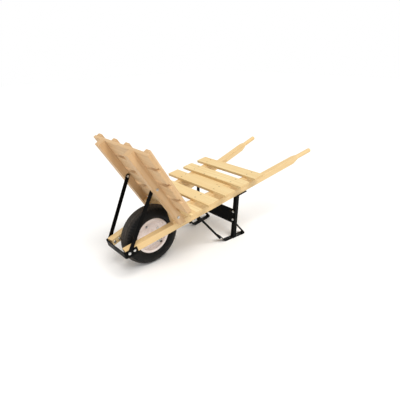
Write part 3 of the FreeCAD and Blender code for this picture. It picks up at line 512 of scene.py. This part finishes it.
darkBolt = brightMetal("phosphatedSteel",
                       {"bright": "4b4843", "dull": "2a2825", "rough": 0.42, "metallic": 0.9})
turnedSteel = brightMetal("turnedSteelAxle",
                          {"bright": "b5b4b0", "dull": "84827d", "rough": 0.34, "metallic": 1.0})
creamCoat = powderCoat("creamPowderCoat", {"coat": "fff3ee", "dust": "ead9d0", "rough": 0.34})
# the tread layer 6a625a is partly dust, partly painted sheen on the tread
tyreRubber = rubber("dustAndSheenTyreRubber", {
    "centre": tuple(wheelCentre), "black": "0a0a0a", "film": "171513", "dust": "6a625a", "dusty": 0.42,
    "treadFrom": 0.178, "treadFull": 0.196, "rough": 0.5, "gloss": 0.18})
smoothRubber = rubber("smoothBlackRubber", {
    "centre": tuple(wheelCentre), "black": "0b0b0b", "film": "161412", "dust": "2a2724", "dusty": 0.3,
    "treadFrom": 0.3, "treadFull": 0.4, "rough": 0.45, "gloss": 0.15})
print("materials ready")


view = {"place": (-1.5070, -1.5954, 1.2612), "forward": (0.6281, 0.6396, -0.4431), "roll": -0.81,
        "lens": 29.26, "shiftX": -0.0465, "shiftY": 0.0226}


def lookFrom(view):  # right and up are square to the view direction, then rolled about it
    forward = np.array(view["forward"]) / np.linalg.norm(view["forward"])
    right = np.cross(forward, [0, 0, 1])
    right /= np.linalg.norm(right)
    up = np.cross(right, forward)
    c, s = math.cos(math.radians(view["roll"])), math.sin(math.radians(view["roll"]))
    right, up = right * c + up * s, up * c - right * s
    lens = bpy.data.cameras.new("viewCamera")
    lens.lens, lens.sensor_width = view["lens"], 36
    lens.shift_x, lens.shift_y = view["shiftX"], view["shiftY"]
    lens.clip_start, lens.clip_end = 0.05, 50
    eye = bpy.data.objects.new("viewCamera", lens)
    bpy.context.scene.collection.objects.link(eye)
    matrix = np.eye(4)
    matrix[:3, 0], matrix[:3, 1], matrix[:3, 2], matrix[:3, 3] = right, up, -forward, view["place"]
    eye.matrix_world = Matrix(matrix.tolist())
    bpy.context.scene.camera = eye


lookFrom(view)


timber = {"ease": 1.8 * mm, "endEase": 1.6 * mm}


def plank(name, pieceName, axes, lengthAxis, material):
    # board: eased rectangle carried along its length, ends rounded by shrinking the last rings
    order = [lengthAxis] + [i for i in range(3) if i != lengthAxis]
    low, high = localBox(name, axes)
    low, high = low[order], high[order]
    at, inset = endEase(low[0], high[0], timber["endEase"])
    halfWide = (high[1] - low[1]) / 2 - inset
    halfTall = (high[2] - low[2]) / 2 - inset
    ring = easedRings(halfWide, halfTall, np.maximum(timber["ease"] - 0.6 * inset, 0.4 * mm), 3, 1)
    middle = (low[1:] + high[1:]) / 2
    local = np.zeros((*ring.shape[:2], 3))
    local[..., order[0]] = at[:, None]
    local[..., order[1]] = middle[0] + ring[..., 0]
    local[..., order[2]] = middle[1] + ring[..., 1]
    return piece(pieceName, skin(local @ axes.T), material, "frame", [name], 60, True,
                 (axes, order, logPlace()))


for number in range(1, 6):
    plank(f"deck_slat_{number}", f"deckBoard{number}", deckAxes, 1, deckPine)
for number in range(1, 5):
    plank(f"rack_slat_{number}", f"rackBoard{number}", rackAxes, 1, rackPine)
    plank(f"rack_batten_{number}", f"rackBatten{number}", rackAxes, 2, rackPine)

grip = {"shoulder": 222.5 * mm, "taper": 72 * mm, "widest": 36.4 * mm, "radius": 17 * mm, "endRound": 7 * mm,
        "lift": 5.2 * mm, "ease": 2.5 * mm}


def handle(word, side):
    # rail: an eased square whose rear end is turned about a line lifted towards its top: each point's
    # distance
    # from that line is the lesser of the square's and the turning's
    axes = railAxes[side]
    low, high = localBox(word + "_handle", axes)
    start = high[0] - grip["shoulder"]
    high[0] -= 0.1 * mm  # the tip stays inside the rail's own box
    last = high[0] - grip["endRound"]
    front, inset = endEase(low[0], high[0], timber["endEase"])
    front, inset = front[:4], inset[:4]
    taper = np.linspace(start, start + grip["taper"], 23)
    hold = np.linspace(start + grip["taper"], last, 8)[1:]
    angle = np.linspace(0, math.pi / 2, 7)[1:]
    tip = last + grip["endRound"] * np.sin(angle)
    at = np.concatenate([front, [low[0] + 0.3, low[0] + 0.7], taper, hold, tip])
    cone = np.interp(at, [start, start + grip["taper"]], [grip["widest"], grip["radius"]])
    cone[at < start] = 1.0
    cone[len(at) - 6:] = grip["radius"] - grip["endRound"] * (1 - np.cos(angle))
    trim = np.zeros(len(at))
    trim[:4] = inset
    half = (high[1] - low[1]) / 2 - trim
    tall = (high[2] - low[2]) / 2 - trim
    ring = easedRings(half, tall, np.maximum(grip["ease"] - 0.6 * trim, 0.4 * mm), 5, 9)
    lift = np.where(at < start, 0.0, grip["lift"])[:, None]
    ring[..., 1] -= lift
    away = np.linalg.norm(ring, axis=-1)
    limit = cone[:, None]
    blendWide = 0.8 * mm  # the cut's edge is sanded over this width
    soft = -blendWide * np.logaddexp(-away / blendWide, -limit / blendWide)
    ring = ring * (np.where(limit > 0.5, away, soft) / away)[..., None]
    ring[..., 1] += lift
    local = np.zeros((*ring.shape[:2], 3))
    local[..., 0] = at[:, None]
    local[..., 1] = (low[1] + high[1]) / 2 + ring[..., 0]
    local[..., 2] = (low[2] + high[2]) / 2 + ring[..., 1]
    piece(word + "Handle", skin(local @ axes.T), railPine, "frame", [word + "_handle"], 60, True,
          (axes, [0, 1, 2], logPlace()))


for word, side in sides.items():
    handle(word, side)
    easedCopy(word + "_riser", railPine, "frame", 1.2 * mm, word + "Riser",
              (railAxes[side], [0, 1, 2], logPlace()))
    easedCopy(word + "_post", rackPine, "frame", 1.8 * mm, word + "Post",
              (postAxes[side], [2, 0, 1], logPlace()))
easedCopy("cross_member", deckPine, "frame", 1.5 * mm, "crossMember", (deckAxes, [1, 0, 2], logPlace()))
print("timber done")


def islands(name):
    # a node's separate solids as arrays of points: labels spread along edges until they settle
    points = nodePoints(name)
    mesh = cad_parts[name].data
    triangles = np.zeros(len(mesh.loops), np.int64)
    mesh.loops.foreach_get("vertex_index", triangles)
    _, first, back = np.unique(np.round(points / 2e-5).astype(np.int64), axis=0, return_index=True,
                               return_inverse=True)
    back = back.reshape(-1)
    triangles = back[triangles].reshape(-1, 3)
    label = np.arange(len(first))
    while True:
        least = label[triangles].min(1)
        fresh = label.copy()
        for corner in range(3):
            np.minimum.at(fresh, triangles[:, corner], least)
        if (fresh == label).all():
            break
        label = fresh
    return [points[first][label == one] for one in np.unique(label)]


def shankOf(points):
    # middle, axis and both ends of a bolt: the axis is the direction in which its points spread most
    middle = points.mean(0)
    _, _, rows = np.linalg.svd(points - middle, full_matrices=False)
    axis = rows[0]
    along = (points - middle) @ axis
    away = np.linalg.norm(points - middle - along[:, None] * axis, axis=1)
    wide = [away[along < along.min() + 4.2 * mm].max(), away[along > along.max() - 4.2 * mm].max()]
    return middle, axis, (along.min(), along.max()), wide


bolt = {"shank": 4 * mm, "head": 5.5 * mm, "corner": 7.5 * mm, "washer": 9.2 * mm}


def boltSet(name, pieceName, material, body, washer=None):
    # hexagon heads and nuts on washers, joined by their shanks
    surfaces = []
    for points in islands(name):
        centre, axis, ends, wide = shankOf(points)
        for end, sign, width in ((ends[0], -1, wide[0]), (ends[1], 1, wide[1])):
            if width > 6 * mm:
                seat = centre + axis * (end - sign * bolt["head"])
                surfaces.append(hexagon(seat, axis * sign, bolt["corner"], bolt["head"],
                                        washer or bolt["washer"], dice.uniform(0, 1)))
        span = np.array([ends[0] + 2 * mm, ends[0] + 2.4 * mm, ends[1] - 2.4 * mm, ends[1] - 2 * mm])
        thin = np.array([0.88, 1, 1, 0.88]) * bolt["shank"] * 0.98
        surfaces.append(revolve(thin, span, centre, axis, 20))
    return piece(pieceName, joined(surfaces), material, body, [name], 30)


screwHead = {"radius": 4.6 * mm, "dome": 0.35 * mm, "recess": 1.5 * mm, "cross": 2.6 * mm, "shank": 2.2 * mm}


def screwSet(name, pieceName):
    # countersunk heads with a cross recess: the floor drops where the angle is near a quarter turn
    surfaces = []
    steps = 24
    angle = np.arange(steps) / steps * 2 * math.pi
    fold = np.abs((angle + math.pi / 4) % (math.pi / 2) - math.pi / 4)
    for points in islands(name):
        centre, axis, ends, wide = shankOf(points)
        sign, top = (1, ends[1]) if wide[1] > wide[0] else (-1, -ends[0])
        out = axis * sign
        tail = ends[0] if sign > 0 else -ends[1]
        flat = np.ones(steps)
        inCross = (fold < 0.4).astype(float)
        dome = screwHead["dome"]
        reach = np.where(inCross > 0, screwHead["cross"], 0.45 * screwHead["cross"])
        rings = [(screwHead["shank"] * 0.4 * flat, tail * flat),
                 (screwHead["shank"] * flat, (tail + 4 * mm) * flat),
                 (screwHead["shank"] * flat, (top - 3 * mm) * flat),
                 (screwHead["radius"] * flat, (top - 0.1 * mm) * flat),
                 (screwHead["radius"] * 0.93 * flat, (top + 0.4 * dome) * flat),
                 (screwHead["radius"] * 0.75 * flat, (top + 0.8 * dome) * flat),
                 (reach * 1.02, (top + dome) * flat), (reach * 0.9,
                                                       (top + dome - 0.5 * screwHead["recess"]) * flat),
                 (reach * 0.4, (top - screwHead["recess"]) * flat)]
        radius, height = (np.stack(v) for v in zip(*rings))
        surfaces.append(revolve(radius, height, centre, out, steps))
    return piece(pieceName, joined(surfaces), darkZinc, "frame", [name], 30)


darkZinc = brightMetal("passivatedScrews",
                       {"bright": "9c8f74", "dull": "6d6552", "rough": 0.38, "metallic": 0.9})
screwSet("deck_screws", "deckScrews")
screwSet("rack_screws", "rackScrews")
screwSet("batten_screws", "battenScrews")
for node, label in (("nose_bolts", "noseBolts"), ("brace_foot_bolts", "braceFootBolts"),
                    ("brace_bolts", "braceBolts"), ("post_bolts", "postBolts"), ("plate_bolts",
                                                                                 "plateBolts")):
    boltSet(node, label, zincPlate, "frame")
for node, label in (("leg_bolts", "legBolts"), ("rod_bolts", "rodBolts"), ("bracket_bolts", "bracketBolts")):
    boltSet(node, label, darkBolt, "frame", 8.4 * mm)
print("screws and bolts done")


steel = {"strap": 5 * mm, "ease": 0.8 * mm, "bend": 9 * mm}


def noseGuard():
    # one flat bar on edge, bent round both rails: its middle line is the arms' lines cut by the front
    # bar's line
    lowLevel, highLevel = localBox("nose_guard", level)
    tall = highLevel[2] - lowLevel[2]
    middleZ = (highLevel[2] + lowLevel[2]) / 2
    half = steel["strap"] / 2
    frontX = lowLevel[0] + half
    points = nodePoints("nose_guard")
    corners = {}
    for word, side in sides.items():
        axes = railAxes[side]
        mine = points[points[:, 1] * side > 0.06] @ axes
        lateral = (mine[:, 1] * side).max() - half
        rear = mine[:, 0].max()
        handleLow, handleHigh = localBox(word + "_handle", axes)
        zed = (handleLow[2] + handleHigh[2]) / 2
        back = (np.array([rear, side * lateral, zed]) @ axes.T) @ level
        ahead = (np.array([rear - 0.2, side * lateral, zed]) @ axes.T) @ level
        share = (frontX - back[0]) / (ahead[0] - back[0])
        corners[side] = (back, back + (ahead - back) * share)
    path = [corners[-1][0], corners[-1][1], corners[1][1], corners[1][0]]
    path = np.array(path)
    path[:, 2] = middleZ
    bent = roundCorners(path, steel["bend"], 7)
    tall = tall - 0.3 * mm
    piece("noseGuardBar", strap(bent @ level.T, level[:, 2], tall, steel["strap"], steel["ease"]),
          blackEnamel, "frame", ["nose_guard"], 40, True)


brace = {"thick": 4 * mm, "topBend": 40 * mm, "footBend": 36 * mm, "bend": 40 * mm}


def braceBar(word):
    # flat bar with rounded ends: its middle line is read at the two ends and the two slight bends
    name = word + "_brace"
    points = nodePoints(name)
    # the long axis in the XZ plane is the direction of greatest spread
    flat = points[:, [0, 2]] - points[:, [0, 2]].mean(0)
    _, _, rows = np.linalg.svd(flat, full_matrices=False)
    along = np.array([rows[0][0], 0, rows[0][1]])
    along *= -1 if along[2] > 0 else 1
    axes = np.stack([along, [0, 1, 0], np.cross(along, [0, 1, 0])], -1)
    local = points @ axes
    stations = [local[:, 0].min(), local[:, 0].min() + brace["topBend"],
                local[:, 0].max() - brace["footBend"], local[:, 0].max()]
    path = []
    for at in stations:
        near = local[np.abs(local[:, 0] - at) < 1.5 * mm]
        path.append([at, near[:, 1].mean(), (local[:, 2].min() + local[:, 2].max()) / 2])
    path = roundCorners(np.array(path), brace["bend"], 4)
    wide = local[:, 2].max() - local[:, 2].min()
    piece(word + "BraceBar", strap(path @ axes.T, axes[:, 2], wide, brace["thick"], steel["ease"], True),
          blackEnamel, "frame", [name], 40, True)


foot = {"toeLength": 78 * mm, "toeAngle": 50, "heelAngle": 52, "heelToTab": 97 * mm, "bend": 7 * mm}


def footBar(word, side):
    # one strap bent three times: the outer line is moved in by half its thickness and its corners rounded
    name = word + "_foot"
    axes = footAxes[side]
    low, high = localBox(name, axes)
    toe, heel = math.radians(foot["toeAngle"]), math.radians(foot["heelAngle"])
    bendX = low[0] + foot["toeLength"] * math.cos(toe)
    tabX = high[0] - foot["heelToTab"]
    outer = np.array([[low[0], foot["toeLength"] * math.sin(toe)], [bendX, 0], [high[0], 0],
                      [tabX, (high[0] - tabX) * math.tan(heel)], [tabX, high[2]]])
    path = offsetLine(outer, steel["strap"] / 2)
    path = roundCorners(path, foot["bend"], 6)
    middle = (low[1] + high[1]) / 2
    local = np.stack([path[:, 0], np.full(len(path), middle), path[:, 1] + low[2]], -1)
    across = axes[:, 1]
    piece(word + "FootBar", strap(local @ axes.T, across, high[1] - low[1], steel["strap"], steel["ease"]),
          blackEnamel, "frame", [name], 40, True)


def offsetLine(points, distance):
    # each run moved to its left by the distance, corners where neighbouring runs meet
    step = np.diff(points, axis=0)
    step /= np.linalg.norm(step, axis=1, keepdims=True)
    normal = np.stack([-step[:, 1], step[:, 0]], -1)
    out = [points[0] + normal[0] * distance]
    for i in range(1, len(points) - 1):
        miter = normal[i - 1] + normal[i]
        out.append(points[i] + miter * distance / (1 + normal[i - 1] @ normal[i]))
    out.append(points[-1] + normal[-1] * distance)
    return np.array(out)


noseGuard()
for word, side in sides.items():
    braceBar(word)
    footBar(word, side)
    easedCopy(word + "_leg", blackEnamel, "frame", 0.7 * mm, word + "LegAngle")
    easedCopy(word + "_foot_rod", blackEnamel, "frame", 0.7 * mm, word + "FootRod")
    easedCopy(word + "_axle_bracket", blackEnamel, "frame", 0.8 * mm, word + "AxleBracket")
easedCopy("leg_plate", blackEnamel, "frame", 0.8 * mm, "legPlate")
print("steel done")


tyre = {"teeth": 60, "perTooth": 8, "zigzag": 2.2 * mm, "grooves": (-27, -9, 9, 27), "grooveWide": 4.4 * mm,
        "depth": 3.6 * mm, "shoulder": 37 * mm, "lugEnd": 56 * mm, "bead": 102 * mm, "beadTop": 118.5 * mm,
        "beadY": 34 * mm, "beadInner": 26 * mm, "sideArc": 39 * mm, "wall": 8 * mm}


def smooth(value, low, high):  # 0 below low, 1 above high, an S curve between
    t = np.clip((value - low) / (high - low), 0, 1)
    return t * t * (3 - 2 * t)


def tyrePiece():
    # section of two side arcs and a crown arc turned about the axle; the crown sinks into zigzag
    # grooves where a
    # point is close to a groove's wavy line, and into slots between the shoulder lugs
    radius = (wheelHigh[2] - wheelLow[2]) / 2
    half = (wheelHigh[1] - wheelLow[1]) / 2
    ring = radius - half
    arcCentre = half - tyre["sideArc"]
    lean = math.asin((ring - tyre["beadTop"]) / tyre["sideArc"])
    sideAngle = np.linspace(-lean, 0, 15)
    sideR = ring + tyre["sideArc"] * np.sin(sideAngle)
    sideY = arcCentre + tyre["sideArc"] * np.cos(sideAngle)
    ribs = 0.9 * mm * (np.abs(sideR - 0.130) < 1.6 * mm) + 0.7 * mm * (np.abs(sideR - 0.1425) < 1.2 * mm)
    sideY = sideY + ribs
    crownAngle = np.linspace(0, math.pi, 107)[1:-1]
    crownR, crownY = ring + half * np.sin(crownAngle), half * np.cos(crownAngle)
    girth = half * (math.pi / 2 - crownAngle)
    innerHalf = half - tyre["wall"]
    innerAngle = np.linspace(0, math.pi, 25)
    innerR, innerY = ring + innerHalf * np.sin(innerAngle), innerHalf * np.cos(innerAngle)
    beadR = np.array([tyre["bead"] + 1 * mm, tyre["bead"], tyre["bead"], tyre["bead"] + 1 * mm,
                      tyre["beadTop"]])
    beadY = np.array([tyre["beadY"], tyre["beadY"] - 1 * mm, tyre["beadInner"] + 1 * mm, tyre["beadInner"],
                      tyre["beadInner"]])
    sectionR = np.concatenate([beadR[::-1], sideR, crownR, sideR[::-1], beadR, innerR])
    sectionY = np.concatenate([beadY[::-1], sideY, crownY, -sideY[::-1], -beadY, -innerY])
    start = len(beadR) + len(sideR)
    around = tyre["teeth"] * tyre["perTooth"]
    u = np.arange(around) / tyre["perTooth"]
    wave = 2 * np.abs(2 * (u % 1) - 1) - 1
    away = np.full((around, len(girth)), 1.0)
    for number, spot in enumerate(tyre["grooves"]):
        line = spot * mm + tyre["zigzag"] * wave * (1 if number % 2 else -1)
        away = np.minimum(away, np.abs(girth[None] - line[:, None]))
    groove = 1 - smooth(away, 0.22 * tyre["grooveWide"], 0.62 * tyre["grooveWide"])
    outer = np.abs(girth)[None]
    slot = smooth(np.abs(((u[:, None] + 0.25 * np.sign(girth)) % 1) - 0.5), 0.24, 0.34)
    lugs = slot * smooth(outer, tyre["shoulder"] - 2.5 * mm, tyre["shoulder"] + 1.5 * mm)
    lugs = lugs * (1 - smooth(outer, tyre["lugEnd"] - 6 * mm, tyre["lugEnd"]))
    sink = tyre["depth"] * np.maximum(groove, 0.8 * lugs)
    r = np.repeat(sectionR[None], around, 0)
    y = np.repeat(sectionY[None], around, 0)
    zone = slice(start, start + len(girth))
    r[:, zone] -= sink * np.sin(crownAngle)
    y[:, zone] -= sink * np.cos(crownAngle)
    angle = np.arange(around) / around * 2 * math.pi
    rings = np.stack([wheelCentre[0] + r * np.cos(angle)[:, None], wheelCentre[1] + y,
                      wheelCentre[2] + r * np.sin(angle)[:, None]], -1)
    return piece("tyreWithTread", skin(rings, True), tyreRubber, "wheel", ["tyre"], 50)


def lathe(name, profile, material, nodes, steps=96, sharp=40):
    # closed (radius, y) line turned about the axle
    profile = np.asarray(profile, float)
    surface = revolve(profile[:, 0], profile[:, 1], wheelCentre, (0, 1, 0), steps, True)
    return piece(name, surface, material, "wheel", nodes, sharp)


def sheetLoop(line, thick, radius):  # a bent line given thickness: rounded, then moved both ways and closed
    bent = roundCorners(np.array(line), radius, 4)
    step = tangents(bent)
    normal = np.stack([-step[:, 1], step[:, 0]], -1)
    return np.concatenate([bent + normal * thick / 2, (bent - normal * thick / 2)[::-1]])


rim = {"thick": 2.4 * mm, "corner": 3.5 * mm}
# radius and distance from the wheel's middle plane, mm: disc, step, drop centre, bead seat, flange, lip
rimLine = [(22.2, 1.35), (30, 1.35), (34, 4.2), (50, 4.2), (56, 1.35), (73.5, 1.35), (86, 5.2), (89.5, 11.2),
           (98.8, 13.2), (100.7, 26), (100.7, 35.1), (114.5, 35.1), (117.2, 33.6)]


def rimPiece(word, side):
    line = [(r * mm, side * y * mm) for r, y in rimLine]
    lathe(word + "RimHalf", sheetLoop(line, rim["thick"], rim["corner"]), creamCoat, [word + "_rim"], 128, 50)


def hubPieces():
    # hub tube with a collar at each end, coated like the rim, and a sealed bearing in each end
    low, high = (np.array(v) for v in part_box("hub"))
    half, outer = (high[1] - low[1]) / 2, (high[2] - low[2]) / 2
    bore = 17.5 * mm
    line = np.array([(bore, -half + 0.6 * mm), (bore + 0.6 * mm, -half), (outer - 1 * mm, -half),
                     (outer, -half + 1 * mm), (outer, -half + 6 * mm), (outer - 1.2 * mm, -half + 7.5 * mm),
                     (outer - 1.2 * mm, -6 * mm), (outer, -5 * mm)])
    line = np.concatenate([line, line[::-1] * (1, -1)])
    lathe("hubTube", line, creamCoat, ["hub"], 64)
    for word, side in sides.items():
        low, high = (np.array(v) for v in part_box(word + "_bearing"))
        inner, outer = 8.05 * mm, (high[2] - low[2]) / 2
        near, far = (low[1], high[1]) if side < 0 else (high[1], low[1])
        sign = 1 if side < 0 else -1
        face = [(inner, 0.4), (inner + 0.4 * mm, 0), (inner + 3.2 * mm, 0), (inner + 3.4 * mm, 0.8),
                (outer - 3.4 * mm, 0.8), (outer - 3.2 * mm, 0), (outer - 0.5 * mm, 0), (outer, 0.5)]
        line = [(r, near + sign * y * mm) for r, y in face] + [(outer, far), (inner, far)]
        lathe(word + "SealedBearing", line, turnedSteel, [word + "_bearing"], 64)


# profile: radius and distance from the tyre's end of the stem, mm
valveShape = {"profile": [(1.5, 0), (4, 0), (4, 20.4), (7.2, 20.7), (7.4, 22.4), (6.6, 25), (6, 30),
                          (5.8, 37),
                          (4.8, 39.5), (3.3, 40), (3.3, 45), (2.9, 46)],
              "cap": 4.75 * mm, "ribs": 12, "ribDepth": 0.05}


def valve():
    # rubber stem with a moulded bulge at the rim, and a ribbed cap whose radius waves round it
    points = nodePoints("valve_stem")
    cap = nodePoints("valve_cap")
    axis = cap.mean(0) - points.mean(0)
    axis /= np.linalg.norm(axis)
    centre = (points.min(0) + points.max(0)) / 2
    along = (points - centre) @ axis
    low, high = along.min(), along.max()
    line = np.array(valveShape["profile"]) * mm
    line[:, 1] = low + line[:, 1] / line[-1, 1] * (high - low)
    surface = revolve(line[:, 0], line[:, 1], centre, axis, 32)
    piece("valveStem", surface, smoothRubber, "wheel", ["valve_stem"], 40)
    along = (cap - cap.mean(0)) @ axis
    centre = (cap.min(0) + cap.max(0)) / 2
    low, high = along.min(), along.max()
    steps = 48
    wave = 1 + valveShape["ribDepth"] * np.cos(np.arange(steps) / steps * 2 * math.pi * valveShape["ribs"])
    rings = [(0.7, low, 0), (0.95, low + 0.3 * mm, 1), (1.0, low + 1.2 * mm, 1), (1.0, high - 2.5 * mm, 1),
             (0.85, high - 1.2 * mm, 0), (0.7, high - 0.3 * mm, 0), (0.45, high, 0)]
    radius = np.stack([valveShape["cap"] * r * (wave if waved else np.ones(steps)) for r, _, waved in rings])
    height = np.stack([np.full(steps, h) for _, h, _ in rings])
    piece("valveCap", revolve(radius, height, centre, axis, steps), smoothRubber, "wheel", ["valve_cap"], 40)


axleShape = {"radius": 8 * mm, "threaded": 22, "crest": 0.5, "cut": 0.75 * mm, "chamfer": 1.2 * mm,
             "nutCorner": 13 * mm, "nutWasher": 14.2 * mm}


def axlePieces():
    # axle: rolled thread on both ends, as a saw-toothed radius; collars and hexagon nuts
    low, high = (np.array(v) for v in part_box("axle"))
    half = high[1]
    radius, chamfer = axleShape["radius"], axleShape["chamfer"]
    thread = np.arange(0, axleShape["threaded"], axleShape["crest"])
    ridge = radius - 0.05 * mm - axleShape["cut"] * (np.arange(len(thread)) % 2)
    left = np.stack([ridge, -half + 0.5 * mm + thread * mm], -1)
    middle = np.array([(radius, -half + 24 * mm), (radius, half - 24 * mm)])
    line = np.concatenate([[(radius - chamfer, -half)], left, middle, (left * (1, -1))[::-1],
                           [(radius - chamfer, half)]])
    surface = revolve(line[:, 0], line[:, 1], wheelCentre, (0, 1, 0), 40)
    piece("threadedAxle", surface, turnedSteel, "frame", ["axle"], 30)
    nuts = []
    for points in islands("axle_nuts"):
        side = math.copysign(1, points[:, 1].mean())
        near = np.abs(points[:, 1]).min()
        tall = np.abs(points[:, 1]).max() - near
        seat = wheelCentre + np.array([0, side * near, 0])
        nuts.append(hexagon(seat, (0, side, 0), axleShape["nutCorner"], tall, axleShape["nutWasher"], 0.3,
                            radius + 0.03 * mm))
    piece("axleNuts", joined(nuts), zincPlate, "frame", ["axle_nuts"], 30)
    for word, side in sides.items():
        low, high = (np.array(v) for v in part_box(word + "_spacer"))
        inner, outer = radius + 0.02 * mm, (high[2] - low[2]) / 2
        line = [(inner, low[1]), (outer - 0.6 * mm, low[1]), (outer, low[1] + 0.6 * mm),
                (outer, high[1] - 0.6 * mm), (outer - 0.6 * mm, high[1]), (inner, high[1])]
        line = np.array(line)
        surface = revolve(line[:, 0], line[:, 1], wheelCentre, (0, 1, 0), 48, True)
        piece(word + "SpacerTube", surface, zincPlate, "frame", [word + "_spacer"], 30)


tyrePiece()
for word, side in sides.items():
    rimPiece(word, side)
hubPieces()
valve()
axlePieces()
boltSet("rim_bolts", "rimBolts", zincPlate, "wheel", 8.6 * mm)
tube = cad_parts["inner_tube"]
tube.data.materials.clear()
tube.data.materials.append(smoothRubber)
print("wheel done")


studio = {"floor": "fbfaf8", "air": "ffffff", "airStrength": 0.56, "sunStrength": 2.3, "sunAngle": 34,
          "sunFrom": (-0.08, -0.55, 1.0)}


def stageAndLights():
    bpy.context.scene.view_settings.view_transform = "Standard"
    mesh = bpy.data.meshes.new("studioFloor")
    mesh.from_pydata([(-14, -14, -0.0005), (14, -14, -0.0005), (14, 14, -0.0005), (-14, 14, -0.0005)], [],
                     [(0, 1, 2, 3)])
    ground = bpy.data.objects.new("studioFloor", mesh)
    bpy.context.scene.collection.objects.link(ground)
    material, _, shader = newMaterial("matPaleFloor")
    shader.inputs["Base Color"].default_value = fromHex(studio["floor"])
    shader.inputs["Roughness"].default_value = 0.9
    mesh.materials.append(material)
    world = bpy.data.worlds.new("softAir")
    bpy.context.scene.world = world
    world.use_nodes = True
    air = world.node_tree.nodes["Background"]
    air.inputs["Color"].default_value = fromHex(studio["air"])
    # the empty air behind is white to the eye, and dimmer as light on the object
    eyeRay = add(world.node_tree, "ShaderNodeLightPath").outputs["Is Camera Ray"]
    strength = add(world.node_tree, "ShaderNodeMapRange", smoothStep,
                   span(0.0, 1.0, studio["airStrength"], 1.0),
                   {"Value": eyeRay})
    world.node_tree.links.new(strength.outputs[0], air.inputs["Strength"])
    # one wide, high lamp far away on the barrow's left: an even floor and soft shadows
    lamp = bpy.data.lights.new("softSun", "SUN")
    lamp.energy, lamp.angle = studio["sunStrength"], math.radians(studio["sunAngle"])
    item = bpy.data.objects.new("softSun", lamp)
    bpy.context.scene.collection.objects.link(item)
    back, one, _ = twoAcross(studio["sunFrom"])
    matrix = np.eye(4)
    matrix[:3, 0], matrix[:3, 1], matrix[:3, 2] = one, np.cross(back, one), back
    item.matrix_world = Matrix(matrix.tolist())


stageAndLights()
print("stage done")
